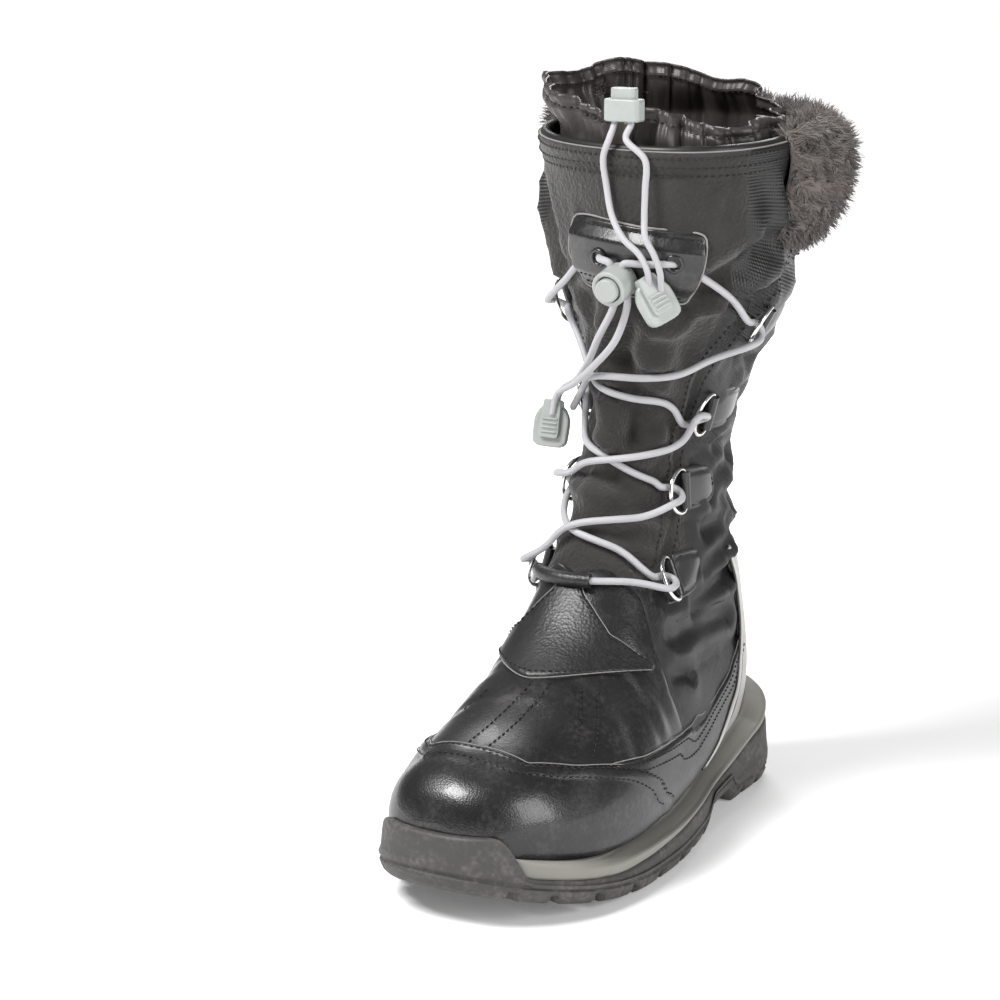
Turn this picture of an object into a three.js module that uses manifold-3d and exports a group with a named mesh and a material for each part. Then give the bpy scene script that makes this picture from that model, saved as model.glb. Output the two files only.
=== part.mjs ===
// A left snow boot: rubber sole, lasted upper, quilted shaft, speed lacing and a drawstring snow cuff.
// Millimetres. +Z is up, the toe points to -Y and the outer (lateral) side is +X.
// The origin is on the floor under the middle of the heel.
import * as THREE from "three";
import { mergeVertices } from "three/addons/utils/BufferGeometryUtils.js";
import Module from "manifold-3d";

const wasm = await Module();
wasm.setup();

// ---------------------------------------------------------------- driving dimensions
const SOLE_LENGTH = 277; // outsole, heel to toe tip
const BALL_WIDTH = 108; // outsole across the ball
const SHAFT_HEIGHT = 330; // floor to the collar's edge
const HEEL_SETBACK = 36; // back of the outsole to the origin
const WALL = 5; // shell, padding and lining together
const GAP = 0.35; // between pieces that meet
const OVERLAY = 1.7; // thickness of the leather overlays
const CORD = 3.4; // elastic lace and drawcord, diameter
const WIRE = 2.2; // ring wire, diameter

const group = new THREE.Group();

// ---------------------------------------------------------------- materials
const finish = (color, roughness, metalness = 0) =>
  new THREE.MeshStandardMaterial({ color, roughness, metalness });
const materials = {
  rubber: finish(0x3a3937, 0.75),
  midsole: finish(0x8d8c82, 0.6),
  shell: finish(0x232224, 0.5),
  leather: finish(0x1f1f22, 0.38),
  counter: finish(0x9b9a96, 0.45),
  nylon: finish(0x2b2826, 0.4),
  fur: finish(0x4a413d, 0.95),
  insole: finish(0x2a2725, 0.9),
  steel: finish(0xc9c9c9, 0.25, 1),
  cord: finish(0xbdbcc2, 0.6),
  plastic: finish(0xb4b6b4, 0.4),
};

function add(name, geometry, material) {
  const mesh = new THREE.Mesh(geometry, material);
  mesh.name = name;
  group.add(mesh);
  return mesh;
}

// ---------------------------------------------------------------- small maths
const mix = (a, b, t) => a + (b - a) * t;
const clamp01 = (t) => Math.min(1, Math.max(0, t));
const smooth = (low, high, v) => {
  const t = clamp01((v - low) / (high - low));
  return t * t * (3 - 2 * t);
};
const signedPower = (v, e) => Math.sign(v) * Math.abs(v) ** e;

// Smooth value of one column of a table at a fractional row number.
function column(rows, key, at) {
  const last = rows.length - 1;
  const i = Math.min(last - 1, Math.max(0, Math.floor(at)));
  const t = at - i;
  const value = (k) => rows[Math.min(last, Math.max(0, k))][key];
  const [a, b, c, d] = [value(i - 1), value(i), value(i + 1), value(i + 2)];
  return (
    0.5 * (2 * b + (c - a) * t + (2 * a - 5 * b + 4 * c - d) * t * t + (3 * b - a - 3 * c + d) * t * t * t)
  );
}

// Value of one column of a table at a distance forward, for tables whose rows have a forward column.
function along(rows, key, forward) {
  let i = 0;
  while (i < rows.length - 2 && rows[i + 1].forward < forward) i++;
  const span = rows[i + 1].forward - rows[i].forward;
  return column(rows, key, i + clamp01((forward - rows[i].forward) / span));
}

const table = (names, rows, scale = {}) =>
  rows.map((row) => Object.fromEntries(names.map((n, i) => [n, row[i] * (scale[n] ?? 1)])));

// ---------------------------------------------------------------- the last
// One row for each section, from the toe tip over the instep and up the shaft. A section is a plane through its
// top point (front of the boot) and its base point (bed or back of the boot). Forward is a share of the sole's
// length, up a share of the shaft's height, the half widths a share of the ball width. Middle is where it is
// widest, from base to top, and crown and seat are the roundness of its two ends (2 is an ellipse).
const percent = 0.01;
const LAST_COLUMNS = [
  "topForward", "topUp", "topSide", "baseForward", "baseUp", "baseSide",
  "medial", "lateral", "middle", "crown", "seat",
];
const lastRows = table(
  LAST_COLUMNS,
  [
    [84.6, 11.2, -5.6, 84.6, 10, -5.6, 1.9, 1.9, 50, 2, 2],
    [84.1, 14.3, -5.6, 84.1, 7.6, -5.6, 12.2, 13.2, 40, 2.1, 2.4],
    [82.4, 17.3, -5.6, 82.3, 6.8, -5.6, 21.8, 24.2, 36, 2.2, 2.8],
    [78.6, 19.6, -5.6, 78.2, 6.2, -5.6, 30, 33.8, 34, 2.3, 3.4],
    [72.3, 21.2, -5.6, 72.6, 5.8, -4.6, 35.6, 42.2, 34, 2.3, 4],
    [63.8, 23.3, -6.5, 64.2, 5.3, -2.8, 39.6, 48.3, 34, 2.2, 4.5],
    [54.5, 26.8, -7.4, 55.6, 5.2, -1.4, 40.7, 50.5, 33, 2.1, 4.5],
    [46.9, 30.9, -8.3, 45.8, 5.6, -0.5, 39.4, 49.1, 32, 2.05, 4.5],
    [40.8, 35.8, -9.3, 35, 6.4, 0, 37, 45.4, 31, 2.05, 4.5],
    [35.7, 40.6, -10.2, 23.1, 7.3, 0, 34.7, 40.7, 33, 2.1, 4.2],
    [32.1, 45.5, -11.1, 10.8, 8, 0, 32.4, 35.6, 36, 2.1, 3.6],
    [29.6, 50.3, -11.1, -0.7, 8.8, 0, 29.6, 31.5, 40, 2.1, 3],
    [28.2, 55.2, -9.3, -9.2, 13.6, -1.9, 27.8, 27.8, 44, 2.1, 2.5],
    [27.8, 60, -6.5, -10.6, 25.5, -4.6, 26.4, 25, 47, 2.1, 2.25],
    [28.2, 65.5, -0.9, -9.1, 39.4, -9.3, 25.9, 24.1, 49, 2.1, 2.15],
    [31.2, 73.3, 6.6, -7.9, 55.2, -11.1, 33.3, 30.6, 50, 2.15, 2.1],
    [35.2, 84.8, 14.5, -13.7, 75.8, -5.6, 55.6, 49.1, 50, 2.2, 2.1],
    [36.5, 98.5, 19.5, -17.3, 100, -7.4, 68.5, 51.9, 50, 2.25, 2.1],
  ],
  {
    topForward: SOLE_LENGTH * percent, baseForward: SOLE_LENGTH * percent,
    topUp: SHAFT_HEIGHT * percent, baseUp: SHAFT_HEIGHT * percent,
    topSide: BALL_WIDTH * percent, baseSide: BALL_WIDTH * percent,
    medial: BALL_WIDTH * percent, lateral: BALL_WIDTH * percent,
    middle: percent,
  },
);
const COLLAR = lastRows.length - 1;

// A point of the outer skin. Row is a fractional section number; angle is 0 at the front, positive on the outer side.
function skin(row, angle) {
  const c = Object.fromEntries(LAST_COLUMNS.map((name) => [name, column(lastRows, name, row)]));
  const front = Math.cos(angle) >= 0;
  const roundness = 2 / (front ? c.crown : c.seat);
  const reach = signedPower(Math.cos(angle), roundness);
  const rise = front ? mix(c.middle, 1, reach) : c.middle * (1 + reach);
  const half = angle < 0 ? c.medial : c.lateral;
  const x = mix(c.baseSide, c.topSide, rise) + half * signedPower(Math.sin(angle), roundness);
  return new THREE.Vector3(
    x,
    -mix(c.baseForward, c.topForward, rise),
    mix(c.baseUp, c.topUp, rise),
  );
}

// Outward direction of the skin.
function skinNormal(row, angle) {
  const [dr, da] = [0.06, 0.05];
  const lowRow = Math.max(0.001, row - dr);
  const highRow = Math.min(COLLAR, row + dr);
  const alongRows = skin(highRow, angle).sub(skin(lowRow, angle));
  const around = skin(row, angle + da).sub(skin(row, angle - da));
  return around.cross(alongRows).normalize();
}

const skinAt = (row, angle, lift) => skin(row, angle).addScaledVector(skinNormal(row, angle), lift);

// ---------------------------------------------------------------- building closed meshes
// Joins rings of points into one closed body. Ends are closed by a fan.
function loft(rings, closed = false) {
  const [count, sides] = [rings.length, rings[0].length];
  const points = rings.flat();
  const faces = [];
  const quad = (a, b, c, d) => faces.push(a, b, c, a, c, d);
  const spans = closed ? count : count - 1;
  for (let i = 0; i < spans; i++) {
    const [here, next] = [i * sides, ((i + 1) % count) * sides];
    for (let j = 0; j < sides; j++) {
      const k = (j + 1) % sides;
      quad(here + j, here + k, next + k, next + j);
    }
  }
  if (!closed) {
    for (const [ring, flip] of [[0, true], [count - 1, false]]) {
      const centre = new THREE.Vector3();
      rings[ring].forEach((p) => centre.addScaledVector(p, 1 / sides));
      points.push(centre);
      for (let j = 0; j < sides; j++) {
        const [a, b] = [ring * sides + j, ring * sides + ((j + 1) % sides)];
        faces.push(...(flip ? [points.length - 1, b, a] : [points.length - 1, a, b]));
      }
    }
  }
  return new THREE.BufferGeometry().setFromPoints(points).setIndex(faces);
}

function toSolid(geometry) {
  const bare = new THREE.BufferGeometry();
  const source = geometry.index ? geometry.toNonIndexed() : geometry;
  bare.setAttribute("position", source.getAttribute("position"));
  const merged = mergeVertices(bare, 1e-3);
  let solid = new wasm.Manifold(
    new wasm.Mesh({
      numProp: 3,
      vertProperties: merged.attributes.position.array,
      triVerts: new Uint32Array(merged.index.array),
    }),
  );
  if (solid.volume() < 0) {
    const turned = new Uint32Array(merged.index.array).reverse();
    solid = new wasm.Manifold(
      new wasm.Mesh({ numProp: 3, vertProperties: merged.attributes.position.array, triVerts: turned }),
    );
  }
  return solid;
}

function toGeometry(solid) {
  const { numProp, vertProperties, triVerts, numVert } = solid.getMesh();
  const position = new Float32Array(numVert * 3);
  for (let i = 0; i < numVert; i++)
    position.set(vertProperties.subarray(i * numProp, i * numProp + 3), i * 3);
  return new THREE.BufferGeometry()
    .setAttribute("position", new THREE.BufferAttribute(position, 3))
    .setIndex(new THREE.BufferAttribute(triVerts, 1));
}

// The biggest body of a solid, without the slivers that a cut can leave.
function mainBody(solid) {
  const bodies = solid.decompose();
  return bodies.reduce((a, b) => (b.volume() > a.volume() ? b : a));
}

// ---------------------------------------------------------------- the lasted form
const RING_SIDES = 26;
const SHAFT_ROW = 14; // from here up the last has two rings a row

// The boot's outer form, grown by lift (or shrunk), from the toe to the collar, closed at both ends.
function form(lift, collarRise = 0) {
  const rings = [];
  for (let row = 0; row <= COLLAR; row += row < SHAFT_ROW ? 1 : 0.5) {
    const ring = [];
    for (let j = 0; j < RING_SIDES; j++)
      ring.push(skinAt(Math.max(0.02, row), -Math.PI + (2 * Math.PI * j) / RING_SIDES, lift));
    rings.push(ring);
  }
  if (collarRise) rings.push(rings.at(-1).map((p) => p.clone().setZ(p.z + collarRise)));
  return toSolid(loft(rings));
}

// ---------------------------------------------------------------- the sole
// Half widths of the outsole before its round ends, as shares of the ball width, and its levels in millimetres:
// wall is the top of the rubber wall, bite the line where the sole meets the upper.
const soleRows = table(
  ["forward", "medial", "lateral", "shift", "wall", "bite"],
  [
    [-13, 33.3, 33.3, 0, 33, 50],
    [-7.2, 34.3, 34.3, 0, 29, 43],
    [0, 33.8, 34.7, 0, 25, 35],
    [10.1, 32.4, 36.1, 0, 18, 27],
    [21.7, 33.3, 40.7, 0, 15, 23],
    [32.5, 38.9, 47.7, 0, 14, 22],
    [43.3, 44.4, 53.7, -0.9, 14, 22],
    [56, 46.8, 55.6, -1.9, 14, 22],
    [66.8, 45.8, 54.6, -3.7, 16, 24],
    [87, 42.6, 47.2, -5.6, 26, 34],
  ],
  {
    forward: SOLE_LENGTH * percent, medial: BALL_WIDTH * percent,
    lateral: BALL_WIDTH * percent, shift: BALL_WIDTH * percent,
  },
);
const SOLE_BACK = -HEEL_SETBACK;
const SOLE_FRONT = SOLE_LENGTH - HEEL_SETBACK;
const HEEL_ROUND = 40; // how far the round of the heel reaches
const TOE_ROUND = 62;
const BUMPER_START = 188; // where the toe bumper's step begins, forward of the origin
const BUMPER_END = 203;
const BUMPER_TOP = 42;

const roundEnd = (distance, reach, power) =>
  (1 - (1 - clamp01(distance / reach)) ** power) ** (1 / power);

function soleHalf(forward, side, margin) {
  const ends =
    roundEnd(forward - SOLE_BACK + margin, HEEL_ROUND + margin, 2.3) *
    roundEnd(SOLE_FRONT - forward + margin, TOE_ROUND + margin, 2.35);
  return (along(soleRows, side, forward) + margin) * ends;
}

const TOE_SPRING = 17;
const SPRING_START = 150; // the tread is flat up to here
const HEEL_BEVEL = 8;
const BEVEL_START = -12; // and back to here
// Underside of the sole.
const treadLevel = (forward) =>
  TOE_SPRING * clamp01((forward - SPRING_START) / (SOLE_FRONT - SPRING_START)) ** 1.6 +
  HEEL_BEVEL * clamp01((BEVEL_START - forward) / (BEVEL_START - SOLE_BACK)) ** 2;
const bite = (forward) => along(soleRows, "bite", forward);
// Top of the outsole: the rubber wall, with the bumper round the toe.
const wallTop = (forward) =>
  mix(along(soleRows, "wall", forward), BUMPER_TOP, smooth(BUMPER_START, BUMPER_END, forward));
// Underside of the last.
function lastBed(forward) {
  let i = 2;
  while (i < COLLAR - 6 && lastRows[i + 1].baseForward > forward) i++;
  const [front, back] = [lastRows[i], lastRows[i + 1]];
  const t = clamp01((forward - front.baseForward) / (back.baseForward - front.baseForward));
  return mix(front.baseUp, back.baseUp, t);
}

// A block with the sole's outline. Each layer has a level, a function of the distance forward, and a margin
// added to the outline.
const SOLE_STATIONS = 18;
function soleBlock(layers) {
  const steps = SOLE_STATIONS;
  const ring = ({ level, margin }) => {
    const stations = Array.from({ length: steps + 1 }, (_, i) =>
      mix(SOLE_BACK - margin, SOLE_FRONT + margin, (1 - Math.cos((Math.PI * i) / steps)) / 2),
    );
    const edge = (forward, side, sign) =>
      new THREE.Vector3(
        along(soleRows, "shift", forward) + sign * Math.max(0, soleHalf(forward, side, margin)),
        -forward,
        level(forward),
      );
    return [
      ...stations.map((f) => edge(f, "lateral", 1)),
      ...stations.slice(1, -1).reverse().map((f) => edge(f, "medial", -1)),
    ];
  };
  const rings = layers.map(ring);
  const geometry = loft(rings);
  // ladder-like ends, from side to side, in place of the fans
  const size = rings[0].length;
  const faces = Array.from(geometry.index.array).slice(0, (rings.length - 1) * size * 6);
  for (const [start, flip] of [[0, true], [(rings.length - 1) * size, false]]) {
    for (let i = 0; i < steps; i++) {
      const lateral = (k) => start + k;
      const medial = (k) => start + (k === 0 || k === steps ? k : size - k);
      const corners = [
        [lateral(i), lateral(i + 1), medial(i + 1)],
        [lateral(i), medial(i + 1), medial(i)],
      ];
      for (const [a, b, c] of corners)
        if (a !== b && b !== c && a !== c) faces.push(...(flip ? [a, c, b] : [a, b, c]));
    }
  }
  return toSolid(new THREE.BufferGeometry().setFromPoints(rings.flat()).setIndex(faces));
}

// ---------------------------------------------------------------- placing things on the skin
const degrees = Math.PI / 180;

// A point at an angle and a height of the shaft or foot. Above the collar it goes straight up.
function onSkin(angleDegrees, height, lift = 0) {
  const angle = angleDegrees * degrees;
  let [low, high] = [3.5, COLLAR];
  const over = Math.max(0, height - skin(COLLAR, angle).z);
  for (let i = 0; i < 22; i++) {
    const middle = (low + high) / 2;
    if (skin(middle, angle).z < height) low = middle;
    else high = middle;
  }
  const point = skinAt(low, angle, lift);
  return over ? point.setZ(point.z + over) : point;
}

// Local axes at a place on the skin: along runs level towards the back of the boot, up runs up the boot.
function spot(angleDegrees, height) {
  const side = angleDegrees < 0 ? -1 : 1;
  const step = 1.5;
  const centre = onSkin(angleDegrees, height);
  const ahead = onSkin(angleDegrees + side * step, height).sub(centre);
  const along = ahead.clone().normalize();
  const out = onSkin(angleDegrees, height, 1).sub(centre);
  out.addScaledVector(along, -out.dot(along)).normalize();
  const up = new THREE.Vector3().crossVectors(out, along).multiplyScalar(-side).normalize();
  if (up.z < 0) up.negate();
  return { centre, along, up, out, side, degreesPerMm: (side * step) / ahead.length(), angle: angleDegrees, height };
}
const place = (s, back, rise, lift) =>
  s.centre.clone().addScaledVector(s.along, back).addScaledVector(s.up, rise).addScaledVector(s.out, lift);

// A sheet over a patch of the skin, between two lifts. The map turns shares across and along the patch into a row
// and an angle (or a place with a height); low and high are lifts, or functions of the same shares.
function skinSheet(map, across, down, low, high) {
  const lift = (value, u, v) => (typeof value === "function" ? value(u, v) : value);
  const layer = (value) => {
    const grid = [];
    for (let i = 0; i <= across; i++)
      for (let j = 0; j <= down; j++) {
        const [u, v] = [i / across, j / down];
        grid.push(map(u, v, lift(value, u, v)));
      }
    return grid;
  };
  const points = [...layer(low), ...layer(high)];
  const count = (across + 1) * (down + 1);
  const faces = [];
  const quad = (a, b, c, d) => faces.push(a, b, c, a, c, d);
  const at = (i, j) => i * (down + 1) + j;
  for (let i = 0; i < across; i++)
    for (let j = 0; j < down; j++) {
      quad(at(i, j), at(i, j + 1), at(i + 1, j + 1), at(i + 1, j));
      quad(count + at(i, j), count + at(i + 1, j), count + at(i + 1, j + 1), count + at(i, j + 1));
    }
  const wall = (a, b) => quad(a, b, count + b, count + a);
  for (let i = 0; i < across; i++) {
    wall(at(i, 0), at(i + 1, 0));
    wall(at(i + 1, down), at(i, down));
  }
  for (let j = 0; j < down; j++) {
    wall(at(0, j + 1), at(0, j));
    wall(at(across, j), at(across, j + 1));
  }
  return toSolid(new THREE.BufferGeometry().setFromPoints(points).setIndex(faces));
}

// Points along a smooth line, close together only where it bends.
const CORD_BEND = 0.5; // how far a cord's straight pieces may miss its line
const CORD_STEP = 14;
function linePoints(points, closed) {
  const curve = new THREE.CatmullRomCurve3(points, closed, "centripetal");
  const fine = curve.getSpacedPoints(Math.ceil(curve.getLength()));
  const kept = [fine[0]];
  let last = 0;
  for (let i = 1; i < fine.length - 1; i++) {
    const chord = new THREE.Line3(fine[last], fine[i + 1]);
    const nearest = new THREE.Vector3();
    let miss = 0;
    for (let j = last + 1; j <= i; j++)
      miss = Math.max(miss, chord.closestPointToPoint(fine[j], true, nearest).distanceTo(fine[j]));
    if (miss > CORD_BEND || chord.distance() > CORD_STEP) {
      kept.push(fine[i]);
      last = i;
    }
  }
  if (!closed) kept.push(fine.at(-1));
  return kept;
}

// A round cord or wire through points.
function cord(points, radius, { closed = false, sides = 8 } = {}) {
  const centres = linePoints(points, closed);
  const count = centres.length;
  const tangent = (i) => {
    const before = closed ? centres[(i - 1 + count) % count] : centres[Math.max(0, i - 1)];
    const after = closed ? centres[(i + 1) % count] : centres[Math.min(count - 1, i + 1)];
    return after.clone().sub(before).normalize();
  };
  let normal = new THREE.Vector3(0.3, 0.5, 0.81);
  const rings = centres.map((centre, i) => {
    const along = tangent(i);
    normal = normal.clone().addScaledVector(along, -normal.dot(along)).normalize();
    const across = new THREE.Vector3().crossVectors(along, normal);
    return Array.from({ length: sides }, (_, j) => {
      const turn = (2 * Math.PI * j) / sides;
      return centre
        .clone()
        .addScaledVector(normal, radius * Math.cos(turn))
        .addScaledVector(across, radius * Math.sin(turn));
    });
  });
  return toSolid(loft(rings, closed));
}

// A solid of a three.js geometry set in the axes of a spot: its X runs back, its Y up, its Z out.
function inSpot(geometry, s, back, rise, lift, spin = 0) {
  const sideways = s.along.clone().multiplyScalar(s.side);
  const axes = new THREE.Matrix4().makeBasis(sideways, s.up, new THREE.Vector3().crossVectors(sideways, s.up));
  const turned = geometry.clone().applyMatrix4(new THREE.Matrix4().makeRotationZ(spin));
  turned.applyMatrix4(axes).translate(...place(s, back, rise, lift).toArray());
  return toSolid(turned);
}

// ---------------------------------------------------------------- sole, insole and upper
const outerForm = form(0);
const clearOfUpper = form(GAP, 15);
const OVERLAY_LIFT = GAP + OVERLAY;
const CUT_MARGIN = 15; // of cutting blocks, beyond the sole's outline
const CHANNEL_RISE = 5; // over the last's bed, where the overlays' hidden edges end
const seatChannel = form(OVERLAY_LIFT + GAP).intersect(
  soleBlock([
    { level: (f) => lastBed(f) + CHANNEL_RISE - GAP, margin: CUT_MARGIN },
    { level: () => 90, margin: CUT_MARGIN },
  ]),
);
const overSole = (solid) => solid.subtract(clearOfUpper).subtract(seatChannel);

const ARCH_HEIGHT = 8;
const archCut = new THREE.Shape()
  .moveTo(28, -1)
  .quadraticCurveTo(31, ARCH_HEIGHT, 38, ARCH_HEIGHT)
  .lineTo(58, ARCH_HEIGHT - 1.5)
  .quadraticCurveTo(70, ARCH_HEIGHT - 2, 78, -1)
  .closePath();
// Grooves between the lugs: place forward, slant in degrees and width.
const lugGrooves = table(
  ["forward", "slant", "width"],
  [
    [-22, 12, 4], [-6, 12, 4], [10, 12, 4], [93, -10, 4.5], [111, -10, 4.5], [129, -10, 4.5],
    [147, -6, 4.5], [165, 0, 4.5], [183, 8, 4.5], [201, 14, 4.5], [217, 18, 4],
  ],
);
const LUG_DEPTH = 4;
const GROOVE_REACH = 150;

const WALL_MARGIN = -1.2; // the rubber wall's lean, inwards from the outline

let outsole = soleBlock([
  { level: treadLevel, margin: -4 },
  { level: (f) => treadLevel(f) + 4, margin: 0.6 },
  { level: (f) => mix(treadLevel(f), wallTop(f), 0.45), margin: -0.2 },
  { level: wallTop, margin: WALL_MARGIN },
]);
const archBlock = new THREE.ExtrudeGeometry(archCut, { depth: 2 * BALL_WIDTH, bevelEnabled: false, curveSegments: 5 })
  .translate(0, 0, -BALL_WIDTH)
  .applyMatrix4(
    new THREE.Matrix4().makeBasis(
      new THREE.Vector3(0, -1, 0), new THREE.Vector3(0, 0, 1), new THREE.Vector3(-1, 0, 0),
    ),
  );
outsole = outsole.subtract(toSolid(archBlock));
for (const { forward, slant, width } of lugGrooves) {
  const height = treadLevel(forward) + LUG_DEPTH;
  const lean = Math.atan((treadLevel(forward + 8) - treadLevel(forward - 8)) / 16);
  for (const side of [-1, 1]) {
    const bar = new THREE.BoxGeometry(GROOVE_REACH, width, 20)
      .translate((side * GROOVE_REACH) / 2 - side * 1.5, 0, -10)
      .rotateZ(side * slant * degrees)
      .rotateX(-lean)
      .translate(0, -forward, height);
    outsole = outsole.subtract(toSolid(bar));
  }
}
outsole = mainBody(overSole(outsole));
add("outsole", toGeometry(outsole), materials.rubber);

const overOutsole = soleBlock([
  { level: () => -5, margin: WALL_MARGIN },
  { level: (f) => wallTop(f) + GAP, margin: WALL_MARGIN },
]);
const midsole = overSole(
  soleBlock([
    { level: () => 4, margin: -2 },
    { level: bite, margin: -1.6 },
  ]).subtract(overOutsole),
);
add("midsole", toGeometry(mainBody(midsole)), materials.midsole);

const BED_MARGIN = -13;
const INSOLE = 4;
const bedOpening = soleBlock([
  { level: (f) => lastBed(f) - 8, margin: BED_MARGIN },
  { level: (f) => lastBed(f) + WALL + 3, margin: BED_MARGIN },
]);
const hollow = form(-WALL, 30);
add("upper", toGeometry(mainBody(outerForm.subtract(hollow).subtract(bedOpening))), materials.shell);

const insoleTop = soleBlock([
  { level: (f) => lastBed(f) + WALL + GAP, margin: -5 },
  { level: (f) => lastBed(f) + WALL + GAP + INSOLE, margin: -5 },
]).intersect(form(-WALL - GAP));
const insoleFoot = soleBlock([
  { level: (f) => lastBed(f) + 1.2, margin: BED_MARGIN - GAP },
  { level: (f) => lastBed(f) + WALL + GAP + 1, margin: BED_MARGIN - GAP },
]).intersect(form(-1));
add("insole", toGeometry(mainBody(insoleTop.add(insoleFoot))), materials.insole);

// ---------------------------------------------------------------- leather overlays
// Each overlay is cut from one shell round the last by its outline seen from the side: forward and up.
const belowOverlays = soleBlock([
  { level: () => -20, margin: CUT_MARGIN },
  { level: (f) => lastBed(f) + CHANNEL_RISE, margin: CUT_MARGIN },
]);
const overlayShell = form(OVERLAY_LIFT).subtract(clearOfUpper).subtract(belowOverlays);
const SIDE = { both: 0, medial: -1, lateral: 1 };

function sideCut(outline, side = SIDE.both) {
  const shape = new THREE.Shape(outline.map(([forward, up]) => new THREE.Vector2(forward, up)));
  const width = side ? BALL_WIDTH : 2 * BALL_WIDTH;
  const start = side > 0 ? 0 : -BALL_WIDTH;
  const block = new THREE.ExtrudeGeometry(shape, { depth: width, bevelEnabled: false });
  // the shape's X runs forward (-Y), its Y up and its depth outwards (+X)
  block.applyMatrix4(
    new THREE.Matrix4().makeBasis(
      new THREE.Vector3(0, -1, 0), new THREE.Vector3(0, 0, 1), new THREE.Vector3(1, 0, 0),
    ),
  );
  block.translate(start, 0, 0);
  const turned = block.index ? block.toNonIndexed() : block;
  return toSolid(turned);
}
const smoothLine = (points, count) =>
  new THREE.CatmullRomCurve3(points.map(([f, z]) => new THREE.Vector3(f, z, 0)), false, "centripetal")
    .getPoints(count)
    .map((p) => [p.x, p.y]);

const SEAM = 0.5; // between neighbouring overlays
const capEdge = smoothLine(
  [[213, 84], [209, 69], [200, 65.5], [183, 62], [158, 58], [144, 53.5], [132, 46], [120, 35], [113, 24], [110, 8]],
  22,
);
const counterEdge = smoothLine(
  [[62, 12], [57, 34], [40, 41.5], [22, 50], [9, 68], [0, 88], [3, 106], [13, 126]], 18,
);
const panelTop = smoothLine([[166, 59], [120, 56.5], [89, 57], [60, 58.5], [42, 62], [20, 70], [2, 80]], 14);
const capBlock = sideCut([...capEdge, [110, -10], [300, -10], [300, 84]]);
const capBlockWide = sideCut([
  ...capEdge.map(([f, z]) => [f - SEAM, z + SEAM]), [108, -10], [300, -10], [300, 86],
]);
add("toe_cap", toGeometry(mainBody(overlayShell.intersect(capBlock))), materials.leather);

const counterBlock = sideCut([...counterEdge, [-60, 126], [-60, -10], [62, -10]]);
const counterBlockWide = sideCut([
  ...counterEdge.map(([f, z]) => [f + SEAM, z]), [-60, 127], [-60, -10], [64, -10],
]);
add("heel_counter", toGeometry(mainBody(overlayShell.intersect(counterBlock))), materials.counter);
for (const side of ["medial", "lateral"]) {
  const panel = overlayShell
    .intersect(sideCut([...panelTop, [2, -10], [166, -10]], SIDE[side]))
    .subtract(capBlockWide)
    .subtract(counterBlockWide);
  add(`side_panel_${side}`, toGeometry(mainBody(panel)), materials.leather);
}

const instepOutline = smoothLine(
  [[114, 150], [108, 127], [113, 116], [118.5, 109], [120.5, 101.5], [116, 95], [106, 88]], 12,
);
const LOOP_HEIGHT = 123;
const LOOP_LIFT = 4.3;
const loopLine = [-29, -19, -9, 2, 12].map((angle) => onSkin(angle, LOOP_HEIGHT, LOOP_LIFT));

// ---------------------------------------------------------------- rings, tabs and lace
// Each D ring's middle: angle on the last, negative on the inner side, and height.
const ringRows = table(
  ["angle", "height"],
  [[84, 242], [70, 198], [52, 160], [51, 121], [-80, 246], [-68, 202], [-48, 160], [-46, 121]],
);
const RING_HALF = 10.5; // along the boot's height
const RING_BAR = 5; // the straight bar, behind the ring's middle
const RING_NOSE = -8; // the bow's end, ahead of it
const RING_LIFT = 3.4; // of the bar
const RING_TILT = 0.33; // the bow stands further out
const ringShape = [
  [RING_BAR, -0.86], [RING_BAR, 0], [RING_BAR, 0.86], [1.5, 1], [-3.5, 0.84], [-7, 0.5],
  [RING_NOSE, 0], [-7, -0.5], [-3.5, -0.84], [1.5, -1],
];
const TAB_START = 3.4;
const TAB_END = 32;
const TAB_HALF = 11.5;
const TAB_FOLD = 2.9; // radius of the fold round the ring's bar
const rings = ringRows.map(({ angle, height }) => spot(angle, height));
const ringLine = (s) =>
  ringShape.map(([back, rise]) =>
    place(s, back, rise * RING_HALF, RING_LIFT + (RING_BAR - back) * RING_TILT),
  );

const RING_NAMES = ["lateral", "medial"].flatMap((side) => [1, 2, 3, 4].map((level) => `${side}_${level}`));
const TAB_TAPER = 0.4; // where the tab starts to narrow to its round end
rings.forEach((s, i) => {
  const ring = cord(ringLine(s), WIRE / 2, { closed: true, sides: 6 });
  add(`d_ring_${RING_NAMES[i]}`, toGeometry(ring), materials.steel);
  const half = (u) => {
    const t = clamp01((u - TAB_TAPER) / (1 - TAB_TAPER));
    return TAB_HALF * Math.max(0.25, Math.sqrt(1 - t ** 2.4));
  };
  const pad = skinSheet(
    (u, v, lift) =>
      onSkin(
        s.angle + mix(TAB_START, TAB_END, u) * s.degreesPerMm,
        s.height + (2 * v - 1) * half(u),
        lift,
      ),
    6, 2, -1.5, OVERLAY_LIFT,
  );
  const fold = inSpot(new THREE.CylinderGeometry(TAB_FOLD, TAB_FOLD, 1.5 * RING_HALF, 8), s, RING_BAR, 0, RING_LIFT);
  const clearance = cord(ringLine(s), WIRE / 2 + GAP, { closed: true, sides: 6 });
  const tab = pad.add(fold).subtract(clearOfUpper).subtract(clearance);
  add(`ring_tab_${RING_NAMES[i]}`, toGeometry(mainBody(tab)), materials.leather);
});

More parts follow.
